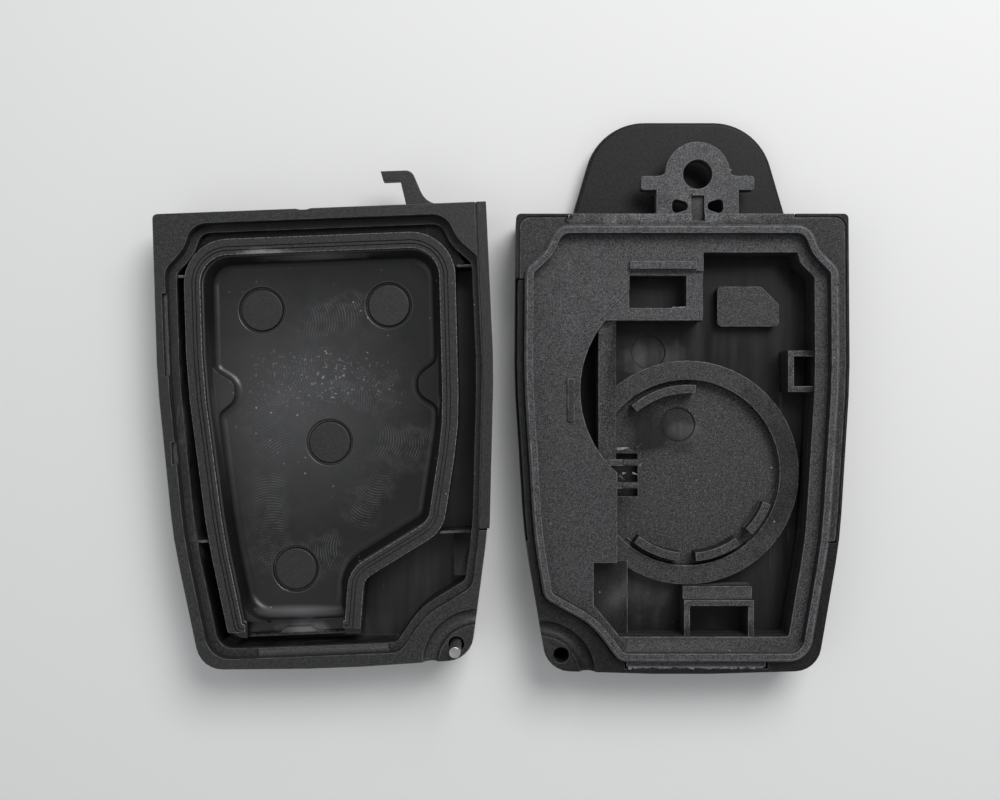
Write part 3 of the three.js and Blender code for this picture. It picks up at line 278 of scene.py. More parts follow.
# What all moulded plastics share
plastic = {
    "fine": (2, 0.55), "coarse": (1, 0.5), "coarseScale": 0.4, "coarseShare": 0.2, "grainSpan": (0.4, 0.62),
    "point": (1, 0.4), "glintScale": 1.2, "glintSpan": (0.62, 0.74), "glintTone": 3,
    "streak": (420, 3, 0.6), "streakStretch": (1, 0.12, 1), "streakTurn": 0.3,
    "plainSpan": (0.35, 0.7), "plainTones": (0.55, 1.5),
    "spotStreakSpan": (0.32, 0.68), "spotStreakTones": (0.5, 1.6),
    "cloud": (3, 0.6), "cloudSpan": (0.4, 0.7), "cloudWarmth": 0.01,
    "ringWidth": 0.11 * mm, "ringShare": 0.75, "ringTone": 0.005,
    "hair": (2600, 1, 0.3), "hairStretch": (1, 0.05, 1), "hairTurn": 0.9,
    "hairSpan": (0.735, 0.76), "hairClouds": (0.5, 0.62),
    "fleckSize": (0.05, 0.1), "fleckChance": (0.8, 0.82), "fleckClouds": (0.45, 0.6),
    "fleckTint": grey(0.4, 0.02),
    "rub": (2, 0.6), "rubSpan": (0.38, 0.62), "rubLeast": 0.2,
    "cloudShare": 0.5, "roughSpan": (0.35, 0.65), "roughOff": (-0.08, 0.1),
    "sheenSpan": (0.38, 0.62), "sheenOff": (-0.08, 0.12), "plainRelief": 0.1,
}


# Moulded plastic: fine grain with bright points, which are painted glints, faint clouds, hairline scratches,
# small dust flecks and rubbed edges, lightened partly as wear and partly as a painted highlight. Inside the
# shell, levels without grain are polished and streaky, upright walls are darkened as painted shade, and spots
# differ in tone; some spots are painted light and shade.
def mouldedPlastic(name, look):
    finish = Finish(name)
    fine = finish.noise(look["grainScale"], *plastic["fine"])
    coarse = finish.noise(look["grainScale"] * plastic["coarseScale"], *plastic["coarse"])
    cloud = finish.noise(look["cloudScale"], *plastic["cloud"])
    streak = finish.noise(*plastic["streak"], finish.stretched(plastic["streakStretch"], plastic["streakTurn"]))
    grain = finish.blend(fine, plastic["coarseShare"], coarse)
    tone, textured = finish.levels(look["levels"]) if "levels" in look else (1.0, 1.0)
    tone = finish.sum("ADD", finish.outer, finish.product(finish.inner, tone))
    textured = finish.sum("MAXIMUM", finish.outer, textured)

    shade = finish.tint(finish.spread(grain, *plastic["grainSpan"]), grey(look["dark"]), grey(look["light"]))
    # Bright points on the grain: painted glints
    points = finish.noise(look["grainScale"] * plastic["glintScale"], *plastic["point"])
    points = finish.spread(points, *plastic["glintSpan"], 0, look["points"])
    shade = finish.tint(points, shade, grey(look["light"] * plastic["glintTone"]))
    plain = [grey(look["smooth"] * factor) for factor in plastic["plainTones"]]
    colour = finish.tint(textured, finish.tint(finish.spread(streak, *plastic["plainSpan"]), *plain), shade)
    clouded = finish.product(finish.spread(cloud, *plastic["cloudSpan"], 0, look["patches"]), textured)
    colour = finish.tint(clouded, colour, grey(look["patchTone"], plastic["cloudWarmth"]))

    for spot in look.get("spots", []):
        inside = finish.spot(spot["place"] @ Vector(spot["at"]), Vector(spot["reach"]) * mm)
        inside = finish.product(inside, finish.inner)
        if "lift" in spot:
            colour = finish.scaled(colour, finish.spread(inside, 0, 1, 1, spot["lift"]))
            continue
        # A covering spot paints a streaked tone: real polish for some spots, painted light and painted shade
        # for others
        spotStreaked = [grey(spot["tone"] * factor) for factor in plastic["spotStreakTones"]]
        spotStreaked = finish.tint(finish.spread(streak, *plastic["spotStreakSpan"]), *spotStreaked)
        colour = finish.tint(finish.product(inside, spot["share"]), colour, spotStreaked)
    for centre, radius in look.get("rings", []):
        line = finish.ring(rearPlace @ Vector(centre), radius * mm, plastic["ringWidth"])
        colour = finish.tint(finish.product(line, plastic["ringShare"]), colour, grey(plastic["ringTone"]))
    # Painted shade: upright walls inside the shell are darkened by the share given as walls
    walls = finish.blend(1.0, 1 - look["walls"], finish.sum("MAXIMUM", finish.outer, finish.lying()))
    colour = finish.scaled(colour, finish.product(tone, walls))

    hair = finish.noise(*plastic["hair"], finish.stretched(plastic["hairStretch"], plastic["hairTurn"]))
    hairs = finish.spread(hair, *plastic["hairSpan"], 0, look["scratches"])
    hairs = finish.product(hairs, finish.spread(cloud, *plastic["hairClouds"]))
    colour = finish.tint(hairs, colour, grey(look["wearAndHighlightTone"]))
    near, chance = finish.cells(look["dustScale"])
    fleck = finish.product(finish.spread(near, *plastic["fleckSize"], 1, 0),
                           finish.spread(chance, *plastic["fleckChance"]),
                           finish.spread(cloud, *plastic["fleckClouds"], 0, look["dust"]))
    colour = finish.tint(fleck, colour, plastic["fleckTint"])
    rub = finish.noise(look["rubScale"], *plastic["rub"])
    rub = finish.spread(rub, *plastic["rubSpan"], plastic["rubLeast"], 1)
    # Eased edges are lightened, partly as wear and partly as a painted highlight
    colour = finish.tint(finish.product(finish.wornAndHighlit, rub, look["wearAndHighlight"]), colour, grey(look["wearAndHighlightTone"]))
    finish.feed(finish.shader.inputs["Base Color"], colour)

    gloss = finish.spread(finish.blend(fine, plastic["cloudShare"], cloud), *plastic["roughSpan"],
                          *(look["rough"] + off for off in plastic["roughOff"]))
    if "smoothRough" in look:
        sheen = finish.spread(finish.blend(streak, plastic["cloudShare"], cloud), *plastic["sheenSpan"],
                              *(look["smoothRough"] + off for off in plastic["sheenOff"]))
        gloss = finish.sum("ADD", finish.product(gloss, textured),
                           finish.product(sheen, finish.sum("SUBTRACT", 1.0, textured)))
    finish.feed(finish.shader.inputs["Roughness"], gloss)
    deep = finish.sum("ADD", finish.product(textured, 1 - plastic["plainRelief"]), plastic["plainRelief"])
    finish.feed(finish.shader.inputs["Normal"], finish.bump(finish.product(grain, deep), look["relief"]))
    finish.shader.inputs["Specular IOR Level"].default_value = look["gloss"]
    return finish


# A level has its height, tone and share of grain. A spot either lifts the tone and keeps the grain, or covers
# it with a streaked tone; some spots are real polish, the others are painted light and painted shade. A ring
# has its centre and radius.
housingLook = {
    "grainScale": 7400, "cloudScale": 80, "dark": 0.014, "light": 0.085, "smooth": 0.012,
    "points": 0.7, "walls": 0.55, "patches": 0.14, "patchTone": 0.06, "smoothRough": 0.36,
    "levels": [
        (0, 1, 0), (2.55, 1, 0), (2.78, 0.9, 0.4), (2.88, 0.9, 0.5), (2.96, 0.92, 1), (3.06, 0.92, 1),
        (3.12, 1.3, 0), (3.3, 1.3, 0), (3.45, 0.9, 0.8), (4.25, 0.95, 1), (4.35, 0.95, 1), (4.45, 0.9, 1),
        (4.55, 0.9, 1), (4.65, 0.55, 0.35), (4.75, 0.55, 0.35), (4.9, 0.9, 0.8), (6.2, 1, 1), (6.25, 0.85, 0.4),
        (6.35, 0.85, 0.4), (6.5, 1, 1), (7.3, 1, 1), (7.35, 1.3, 1), (7.43, 1.3, 1), (7.47, 0.75, 0.85),
        (7.55, 0.75, 0.85), (7.8, 1, 1), (8.55, 1.2, 1), (9, 1.2, 1),
    ],
    "spots": [
        {"place": rearPlace, "at": (2.05, 36.5, 6.9), "reach": (14, 10, 3), "lift": 1.5},
        # Painted light: a lighter strip along the housing's top edge
        {"place": rearPlace, "at": (0, 28.8, 7.5), "reach": (17, 1.2, 0.6), "lift": 2.1},
        {"place": rearPlace, "at": (14, 24, 7.5), "reach": (9, 9, 0.25), "lift": 0.8},
        # Painted light: the upper plateau is lighter, as if lit from the top
        {"place": rearPlace, "at": (0, 20, 7), "reach": (24, 14, 2), "lift": 1.25},
        {"place": rearPlace, "at": (12, -3, 4.5), "reach": (6, 13, 0.6), "lift": 0.5},
        {"place": rearPlace, "at": (-3.2, 0.9, 3.0), "reach": (5.4, 3.8, 0.9), "tone": 0.014, "share": 0.9},
        # Polished ejector marks: the polish is real, and their brightness is a painted sheen
        {"place": rearPlace, "at": (0.7, 1.6, 2.9), "reach": (2.6, 1.6, 0.6), "tone": 0.075, "share": 0.8},
        {"place": rearPlace, "at": (-2.3, 11.0, 2.4), "reach": (4.6, 3.2, 0.6), "tone": 0.062, "share": 0.85},
        {"place": rearPlace, "at": (-4.2, -18.5, 2.5), "reach": (4.5, 5, 0.6), "tone": 0.038, "share": 0.9},
    ],
    "rings": [((0.18, 2.38, 2.9), 2.2), ((-3.62, 11.88, 2.4), 2.2)],
    "scratches": 0.2, "dustScale": 620, "dust": 0.6, "rubScale": 900, "wearAndHighlight": 0.65, "wearAndHighlightTone": 0.2,
    "rough": 0.62, "relief": 0.035 * mm, "gloss": 0.22,
}
coverLook = {
    "grainScale": 5400, "cloudScale": 60, "dark": 0.002, "light": 0.02, "smooth": 0.012,
    "points": 0.5, "walls": 0.85, "patches": 0.5, "patchTone": 0.016,
    "spots": [
        # Painted shadow on the dome under the T-tab, its eye and its windows
        {"place": rearPlace, "at": (2, 33.6, 2.8), "reach": (6, 5.6, 1.5), "tone": 0.004, "share": 0.9},
        # Painted highlight on the rings of the lanyard tunnel
        {"place": rearPlace, "at": (-16.4, -25.2, 6), "reach": (5, 5, 4), "lift": 2.2},
    ],
    "scratches": 0.35, "dustScale": 560, "dust": 0.7, "rubScale": 700, "wearAndHighlight": 0.6, "wearAndHighlightTone": 0.085,
    "rough": 0.5, "relief": 0.014 * mm, "gloss": 0.2,
}
frontLook = dict(
    coverLook, grainScale=7000, dark=0.01, light=0.043, smooth=0.019, walls=0.6, patchTone=0.022,
    smoothRough=0.46, relief=0.02 * mm, gloss=0.35, dustScale=900, dust=0.9, wearAndHighlight=0.7, wearAndHighlightTone=0.1,
    levels=[
        (0, 1, 0), (5.42, 1, 0), (5.46, 4, 0.9), (5.54, 4, 0.9), (5.6, 1, 0.6), (5.8, 1, 1), (6.05, 1, 1),
        (6.1, 1.75, 1), (6.2, 1.75, 1), (6.3, 0.9, 1), (6.74, 1.6, 1), (6.86, 1.6, 1), (7.0, 1, 1), (9, 1, 1),
    ],
    spots=[
        # Painted light in the deep left and top channels, and painted shade in the deep right channel
        {"place": frontPlace, "at": (-17.5, 4, 2.5), "reach": (3, 30, 3.2), "tone": 0.11, "share": 0.9},
        {"place": frontPlace, "at": (0, 26.4, 2.5), "reach": (20, 2.4, 3.2), "tone": 0.09, "share": 0.9},
        {"place": frontPlace, "at": (17.4, 2, 2.5), "reach": (2.6, 17, 3.2), "tone": 0.008, "share": 0.9},
        {"place": frontPlace, "at": (0, 27.2, 5.9), "reach": (30, 3.0, 1.4), "lift": 0.3},
    ],
)
trimLook = dict(frontLook, light=0.036)
sealLook = {
    "grainScale": 5200, "cloudScale": 120, "dark": 0.02, "light": 0.042, "smooth": 0.03,
    "points": 0.3, "walls": 0.7, "patches": 0.3, "patchTone": 0.045,
    "scratches": 0.3, "dustScale": 1000, "dust": 0.8, "rubScale": 2600, "wearAndHighlight": 0.95, "wearAndHighlightTone": 0.24,
    "rough": 0.72, "relief": 0.02 * mm, "gloss": 0.3,
    "spots": [{"place": frontPlace, "at": (-7.2, 23.6, 6.6), "reach": (3.6, 1.1, 1), "lift": 6}],
}
buttonLook = {
    "grainScale": 6500, "cloudScale": 110, "dark": 0.017, "light": 0.034, "smooth": 0.014,
    "points": 0.1, "walls": 0.8, "patches": 0.25, "patchTone": 0.03,
    "scratches": 0.2, "dustScale": 560, "dust": 0.6, "rubScale": 500, "wearAndHighlight": 0.3, "wearAndHighlightTone": 0.05,
    "rough": 0.45, "relief": 0.008 * mm, "gloss": 0.35,
}
flashLook = {
    "grainScale": 5000, "cloudScale": 300, "dark": 0.1, "light": 0.26, "smooth": 0.15,
    "points": 0.2, "walls": 0.9, "patches": 0.4, "patchTone": 0.34,
    "scratches": 0.1, "dustScale": 900, "dust": 0.4, "rubScale": 900, "wearAndHighlight": 0.4, "wearAndHighlightTone": 0.4,
    "rough": 0.5, "relief": 0.01 * mm, "gloss": 0.4,
}

# Tray: satin, with rows of arcs left by the tool that cut its mould. Each pass has a middle on the tray's
# floor, a heading, the tool's radius, half its length and half its width.
trayLook = {
    "dark": 0.003, "light": 0.012, "cloud": (90, 3, 0.6), "grain": (5200, 2, 0.6), "cloudShare": 0.6,
    "rough": 0.3, "roughSpan": (0.35, 0.65), "roughOff": (-0.06, 0.08), "relief": 0.006 * mm, "gloss": 0.5,
    "walls": 0.65, "wearAndHighlight": 0.5, "wearAndHighlightTone": 0.06,
    "spots": {
        # Painted light: a glare over the floor's middle, light on the shaded tabs, and a highlight along the
        # foot's fillet
        "glare": {"at": (-4, 4.5, 3.2), "reach": (17, 17, 8), "tone": 0.056, "share": 0.9, "uneven": 0.07},
        "lowerTab": {"at": (-4.6, -24.4, 4.7), "reach": (4, 1.5, 1.1), "tone": 0.13, "share": 1, "uneven": 0.3},
        "upperTab": {"at": (-0.2, 23.2, 4.8), "reach": (8, 1.7, 1.1), "tone": 0.1, "share": 1, "uneven": 0.3},
        "foot": {"at": (-4.6, -22.6, 3.9), "reach": (9, 1.15, 1.3), "tone": 0.16, "share": 1, "uneven": 0.04},
    },
    "spotEdge": 0.9,
    "floor": 3.2, "pitch": 0.36 * mm, "lineSpan": (0.0, 0.9), "endSpan": (0.5, 1.0),
    "wobble": (420, 2, 0.5), "wobbleSpan": (0.2, 0.8), "sway": 0.12 * mm,
    "breaks": (800, 2, 0.6), "breakSpan": (0.34, 0.6),
    "fades": (230, 2, 0.6), "fadeSpan": (0.3, 0.7), "fadeBy": 0.35,
    "arcTone": 0.095, "arcShare": 0.6, "arcRelief": 0.014 * mm, "arcStrength": 0.8, "arcPolish": 0.1,
    "arcHeights": (3.3 * mm, 3.5 * mm),
    "passes": [
        ((-3.5, 7.5), 24, 4.6, 6.5, 4.2), ((-8.2, 1.5), -62, 5.4, 5.5, 3.6), ((9.2, -1.5), 168, 3.8, 5.0, 3.4),
        ((4.6, -8), 70, 3.2, 4.6, 2.9), ((-8.6, -10), -84, 5.0, 6.5, 3.4), ((-3.5, -16), 12, 4.4, 5.5, 3.6),
        ((4.5, 6.5), -28, 4.0, 4.5, 3.4), ((0.5, 15.5), 186, 5.2, 6.0, 3.2),
    ],
    "scuffs": {"at": (-1, 7.2, 3.2), "reach": (12, 5, 2), "tone": 0.26, "share": 0.8, "noise": (3400, 1, 0.4),
               "span": (0.66, 0.74), "strokes": [((1, 0.45, 1), 0.8), ((0.5, 1, 1), 0.35)]},
    "dust": 0.9, "dustScale": 1100, "fleckSize": (0.08, 0.16), "fleckChance": (0.72, 0.76),
    "fleckClouds": (0.46, 0.62), "fleckTint": grey(0.3, 0.02),
}


def traySatin():
    look = trayLook
    finish = Finish("traySatin")
    cloud = finish.noise(*look["cloud"])
    fine = finish.noise(*look["grain"])
    mottled = finish.blend(fine, look["cloudShare"], cloud)
    wobble = finish.spread(finish.noise(*look["wobble"]), *look["wobbleSpan"], -look["sway"], look["sway"])
    broken = finish.spread(finish.noise(*look["breaks"]), *look["breakSpan"])
    patchy = finish.spread(finish.noise(*look["fades"]), *look["fadeSpan"], -look["fadeBy"], look["fadeBy"])

    def toolPass(middle, heading, radius, length, width):
        turn = Matrix.Rotation(radians(-heading), 4, "Z")
        start = turn @ (frontPlace @ Vector((*middle, look["floor"])))
        along, across, _ = finish.axes(finish.stretched((1, 1, 1), radians(-heading), -start))
        bow = finish.sum("SUBTRACT", (radius * mm) ** 2, finish.product(across, across))
        reach = finish.sum("ADD", along, finish.sum("SQRT", finish.sum("MAXIMUM", bow, 0.0)))
        turns = finish.product(finish.sum("ADD", reach, wobble), 2 * pi / look["pitch"])
        lines = finish.spread(finish.sum("SINE", turns), *look["lineSpan"])
        out = finish.sum("MAXIMUM", finish.sum("ABSOLUTE", finish.sum("DIVIDE", along, length * mm)),
                         finish.sum("ABSOLUTE", finish.sum("DIVIDE", across, width * mm)))
        return finish.product(lines, finish.spread(finish.sum("ADD", out, patchy), *look["endSpan"], 1, 0))

    arcs = 0.0
    for row in look["passes"]:
        arcs = finish.sum("MAXIMUM", arcs, toolPass(*row))
    arcs = finish.product(arcs, broken, finish.spread(finish.height(), *look["arcHeights"], 1, 0))

    colour = finish.tint(mottled, grey(look["dark"]), grey(look["light"]))
    # The spots paint light: a glare on the floor, lit tabs, and the highlight on the foot
    for spot in look["spots"].values():
        inside = finish.spot(frontPlace @ Vector(spot["at"]), Vector(spot["reach"]) * mm, look["spotEdge"],
                             spot["uneven"])
        colour = finish.tint(finish.product(inside, spot["share"]), colour, grey(spot["tone"]))
    colour = finish.tint(finish.product(arcs, look["arcShare"]), colour, grey(look["arcTone"]))
    scuff = look["scuffs"]
    strokes = [finish.noise(*scuff["noise"], finish.stretched(*stroke)) for stroke in scuff["strokes"]]
    marks = finish.spread(finish.sum("MAXIMUM", *strokes), *scuff["span"], 0, scuff["share"])
    inside = finish.spot(frontPlace @ Vector(scuff["at"]), Vector(scuff["reach"]) * mm, look["spotEdge"])
    colour = finish.tint(finish.product(inside, marks), colour, grey(scuff["tone"]))
    near, chance = finish.cells(look["dustScale"])
    fleck = finish.product(finish.spread(near, *look["fleckSize"], 1, 0),
                           finish.spread(chance, *look["fleckChance"]),
                           finish.spread(cloud, *look["fleckClouds"], 0, look["dust"]))
    colour = finish.tint(fleck, colour, look["fleckTint"])
    # Eased edges are lightened, partly as wear and partly as a painted highlight
    colour = finish.tint(finish.product(finish.wornAndHighlit, look["wearAndHighlight"]), colour, grey(look["wearAndHighlightTone"]))
    # Painted shade: upright walls of the tray are darkened
    colour = finish.scaled(colour, finish.blend(1.0, 1 - look["walls"], finish.lying()))
    finish.feed(finish.shader.inputs["Base Color"], colour)

    gloss = finish.spread(mottled, *look["roughSpan"], *(look["rough"] + off for off in look["roughOff"]))
    gloss = finish.sum("SUBTRACT", gloss, finish.product(arcs, look["arcPolish"]))
    finish.feed(finish.shader.inputs["Roughness"], gloss)
    low = finish.bump(fine, look["relief"])
    finish.feed(finish.shader.inputs["Normal"], finish.bump(arcs, look["arcRelief"], look["arcStrength"], low))
    finish.shader.inputs["Specular IOR Level"].default_value = look["gloss"]
    return finish


steelLook = {
    "streak": (900, 3, 0.6), "stretch": (1, 1, 0.2), "dark": grey(0.42, 0.02), "light": grey(0.72, 0.02),
    "roughSpan": (0.3, 0.7), "rough": (0.2, 0.42), "relief": 0.008 * mm,
}


def turnedSteel():
    finish = Finish("pinSteel")
    streak = finish.noise(*steelLook["streak"], finish.stretched(steelLook["stretch"]))
    finish.feed(finish.shader.inputs["Base Color"], finish.tint(streak, steelLook["dark"], steelLook["light"]))
    finish.shader.inputs["Metallic"].default_value = 1
    gloss = finish.spread(streak, *steelLook["roughSpan"], *steelLook["rough"])
    finish.feed(finish.shader.inputs["Roughness"], gloss)
    finish.feed(finish.shader.inputs["Normal"], finish.bump(streak, steelLook["relief"]))
    return finish


finishes = {
    "rear_housing": mouldedPlastic("housingGrain", housingLook),
    "back_cover": mouldedPlastic("coverSkin", coverLook),
    "front_cover": mouldedPlastic("frontSkin", frontLook),
    "side_trim": mouldedPlastic("trimSkin", trimLook),
    "keypad_tray": traySatin(),
    "perimeter_seal": mouldedPlastic("sealRubber", sealLook),
    "button": mouldedPlastic("buttonSatin", buttonLook),
    "flash": mouldedPlastic("paleFlash", flashLook),
    "lanyard_pin": turnedSteel(),
}
print("finishes ready")


def show(name, mesh, finish, body):
    piece = bpy.data.objects.new(name, mesh)
    bpy.context.collection.objects.link(piece)
    mesh.materials.append(finishes[finish].material)
    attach(piece, body)
    return piece


# Every solid is shown as a copy with its moulded edges eased, in millimetres of edge
eased = {
    "rear_housing": 0.1, "back_cover": 0.08, "front_cover": 0.1, "side_trim": 0.06, "keypad_tray": 0.2,
    "perimeter_seal": 0.08, "lanyard_pin": 0.12, "upper_left_button": 0.2, "upper_right_button": 0.2,
    "centre_button": 0.2, "lower_button": 0.2,
}
easing = {
    "flat": radians(0.4), "sharp": radians(34), "steps": 2, "shadeSharp": radians(42), "merge": 0.002 * mm,
    "room": 2.6,                 # edge widths that a face beside an eased edge must have
    "level": 0.3,                # steepest rise of an eased edge
    "upright": 0.3,              # steepest normal of a wall
}


def smoothMesh(name, bm):
    mesh = bpy.data.meshes.new(name)
    bm.to_mesh(mesh)
    bm.free()
    mesh.shade_smooth()
    mesh.set_sharp_from_angle(angle=easing["shadeSharp"])
    return mesh


# Also marks the eased edges, which wear and take a painted highlight, and the faces on the inside of the half
def easeEdges(node, body, width):
    bm = bmesh.new()
    bm.from_mesh(frame["nodes"][node].data)
    bmesh.ops.remove_doubles(bm, verts=bm.verts, dist=easing["merge"])
    bmesh.ops.dissolve_limit(bm, angle_limit=easing["flat"], verts=bm.verts, edges=bm.edges)
    wearAndHighlight = bm.faces.layers.float.new("edgeWearAndHighlight")

    def easy(edge):
        if not edge.is_convex or edge.calc_face_angle() < easing["sharp"]:
            return False
        rise = abs(edge.verts[0].co.z - edge.verts[1].co.z)
        across = min(face.calc_area() for face in edge.link_faces) / edge.calc_length()
        return rise < easing["level"] * edge.calc_length() and across > easing["room"] * width

    corners = [edge for edge in bm.edges if easy(edge)]
    made = bmesh.ops.bevel(bm, geom=corners, offset=width, offset_type="OFFSET", affect="EDGES",
                           segments=easing["steps"], profile=0.5, material=-1, clamp_overlap=False)
    for face in made["faces"]:
        face[wearAndHighlight] = 1
    bm.normal_update()
    inner = bm.faces.layers.float.new("innerFace")
    middle = mounts["back_face"] if "rear" in body else frontPlace @ Vector()
    for face in bm.faces:
        away = face.normal.xy.dot(face.calc_center_median().xy - middle.xy)
        wall = -easing["upright"] < face.normal.z <= easing["upright"]
        face[inner] = 1 if face.normal.z > easing["upright"] or (wall and away < 0) else 0
    return smoothMesh(node + "_eased", bm)


def dress(node):
    body = next(b for b, members in frame["record"]["behaviour"]["bodies"].items() if node in members)
    mesh = easeEdges(node, body, eased[node] * mm)
    piece = show(node + "_eased", mesh, node if node in finishes else "button", body)
    level = piece.modifiers.new("evenShading", "WEIGHTED_NORMAL")
    level.keep_sharp = True
    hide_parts(node)


for node in eased:
    dress(node)
print("pieces eased")


# A small piece, modelled in millimetres, at its place on a half
def finished(name, bm, place):
    bmesh.ops.transform(bm, matrix=place, verts=bm.verts)
    bm.faces.layers.float.new("edgeWearAndHighlight")
    return smoothMesh(name, bm)


tearing = {"coarse": 2.7, "fine": 7.1, "fineShare": 0.6}


# A fin of flash along a line: the foot's height, the way it stands, its thickness and how torn it is. It
# thickens towards the middle of its half.
def raggedFin(line, foot, stands, thick, torn=0, cuts=1):
    bm = bmesh.new()
    rise = Vector(stands)
    points = [Vector((x, y, foot)) for x, y in line]
    roots = [bm.verts.new(point) for point in points]
    edges = [bm.edges.new(pair) for pair in zip(roots, roots[1:])]
    grown = bmesh.ops.extrude_edge_only(bm, edges=edges)["geom"]
    bmesh.ops.translate(bm, verts=[item for item in grown if isinstance(item, bmesh.types.BMVert)], vec=rise)
    along = [edge for edge in bm.edges if (edge.verts[0] in roots) == (edge.verts[1] in roots)]
    bmesh.ops.subdivide_edges(bm, edges=along, cuts=cuts, use_grid_fill=True)
    for vert in bm.verts:
        if min((vert.co - point).dot(rise) for point in points) > 0.5 * rise.length_squared:
            bite = (noise.noise(vert.co * tearing["coarse"])
                    + tearing["fineShare"] * noise.noise(vert.co * tearing["fine"]))
            vert.co += rise * torn * bite
    bmesh.ops.recalc_face_normals(bm, faces=bm.faces)
    if sum(face.normal.dot(face.calc_center_median()) for face in bm.faces) < 0:
        bmesh.ops.reverse_faces(bm, faces=bm.faces)
    bmesh.ops.solidify(bm, geom=bm.faces[:], thickness=thick)
    return bm


def arc(centre, radius, start, end, steps=10):
    turns = [radians(start + (end - start) * k / steps) for k in range(steps + 1)]
    return [(centre[0] + radius * cos(turn), centre[1] + radius * sin(turn)) for turn in turns]


# Beads that close the seams: the trim's seat, and the housing's wings and lip in the cover. The widest one is
# the shelf at the head of the front half's channel.
beads = {
    "trim_bead": {
        "half": "front", "foot": 2.6, "rise": 4.7, "thick": 0.26,
        "line": [(18.96, -12.2), (20.22, 8.2), (20.07, 29.12)],
    },
    "channel_shelf": {
        "half": "front", "foot": 4.2, "rise": 0.75, "thick": 1.75,
        "line": [(-17.1, 23.3), (-16, 25.25), (-15.5, 26.1), (-14.4, 26.85), (14.3, 26.85), (15.4, 26.45),
                 (16, 25.4), (17.2, 23.4), (18.2, 21.85)],
    },
    "left_wing_bead": {
        "half": "rear", "foot": 4.3, "rise": 3.02, "thick": 0.26,
        "line": [(-14.4, 28.92), *arc((-19.27, 27.42), 1.5, 90, 180), (-20.82, 21.1)],
    },
    "left_lip_bead": {
        "half": "rear", "foot": 4.3, "rise": 3.02, "thick": 0.26,
        "line": [(-20.14, 20.8), (-20.18, 15), (-20.22, 10), (-20.06, 5), (-19.42, -5), (-18.9, -12),
                 (-17.98, -18), (-17.5, -19.4), (-15.9, -20.55), (-14.1, -21.55)],
    },
    "right_wing_bead": {
        "half": "rear", "foot": 4.3, "rise": 3.02, "thick": 0.26,
        "line": [(14.4, 28.92), *arc((19.27, 27.42), 1.5, 90, 0), (20.92, 8.2), (19.66, -12.2)],
    },
}
for name, bead in beads.items():
    bm = raggedFin(bead["line"], bead["foot"], (0, 0, bead["rise"]), bead["thick"])
    mesh = finished(name, bm, frontPlace if bead["half"] == "front" else rearPlace)
    finish = "front_cover" if name == "trim_bead" else "back_cover"
    show(name, mesh, finish, bead["half"] + "_half")

# Thin webs round the plungers, inside the holes of the tray
web = {"inner": 2.77, "outer": 3.06, "top": 2.78, "depth": 0.12, "sides": 64, "endDepth": 0.02 * mm}
for button in ("upper_left_button", "upper_right_button", "centre_button", "lower_button"):
    points = [vert.co for vert in frame["nodes"][button].data.vertices]
    top = max(point.z for point in points)
    rim = [point for point in points if point.z > top - web["endDepth"]]
    middle = [(min(point[k] for point in rim) + max(point[k] for point in rim)) / 2 for k in (0, 1)]
    bm = bmesh.new()
    bmesh.ops.create_circle(bm, segments=web["sides"], radius=web["outer"])
    grown = bmesh.ops.extrude_edge_only(bm, edges=bm.edges[:])["geom"]
    inner = [item for item in grown if isinstance(item, bmesh.types.BMVert)]
    bmesh.ops.scale(bm, vec=(web["inner"] / web["outer"],) * 2 + (1,), verts=inner)
    bmesh.ops.recalc_face_normals(bm, faces=bm.faces)
    bmesh.ops.solidify(bm, geom=bm.faces[:], thickness=web["depth"])
    place = Matrix.Translation((*middle, web["top"] * mm)) @ Matrix.Scale(mm, 4)
    show(button + "_web", finished(button + "_web", bm, place), "keypad_tray", "front_half")
print("beads and webs in place")

# Flash and burrs of the rear moulding
flashThick = 0.05
batteryTabs = {"centre": (1.1, -3.8), "radius": 11.42}
rearFlash = {
    "catch_flash": {
        "line": [(-6.9, -28.18), (10.4, -28.18)], "foot": 7.35,
        "stands": (0, -0.18, 0.3), "torn": 1.0, "cuts": 60,
    },
    "window_burr": {
        "line": [(-1.2, 17.3), (0.55, 17.3)], "foot": 6.84,
        "stands": (0, 0.12, 0.03), "torn": 0.9, "cuts": 18,
    },
    "retainer_flash_left": {
        "line": arc(**batteryTabs, start=228, end=262), "foot": 2.95,
        "stands": (-0.05, -0.1, 0.25), "torn": 0.8, "cuts": 3,
    },
    "retainer_flash_right": {
        "line": arc(**batteryTabs, start=318, end=337), "foot": 2.95,
        "stands": (0.1, -0.05, 0.25), "torn": 0.8, "cuts": 3,
    },
}
for name, fin in rearFlash.items():
    mesh = finished(name, raggedFin(**fin, thick=flashThick), rearPlace)
    show(name, mesh, "flash", "rear_half")

# Rounded corner between the tray's left wall and its foot: the wall's section, as steps out from the floor's
# edge and heights, spun round the corner and trimmed along both walls
trayCorner = {
    "centre": (-8.47, -19.38), "radius": 2.2, "start": radians(188.5), "sweep": radians(81.5), "steps": 24,
    "wall": [(0, 3.17), (0.2, 3.23), (0.4, 3.28), (0.6, 3.41), (0.8, 3.57), (1.0, 3.86), (1.2, 4.46),
             (1.75, 5.3), (3.4, 5.3)],
    "trims": [((0, -23.3, 0), (0, -1, 0)), ((-12.5, -20, 0), (-0.989, -0.148, 0))],
    "thick": 0.25,
}


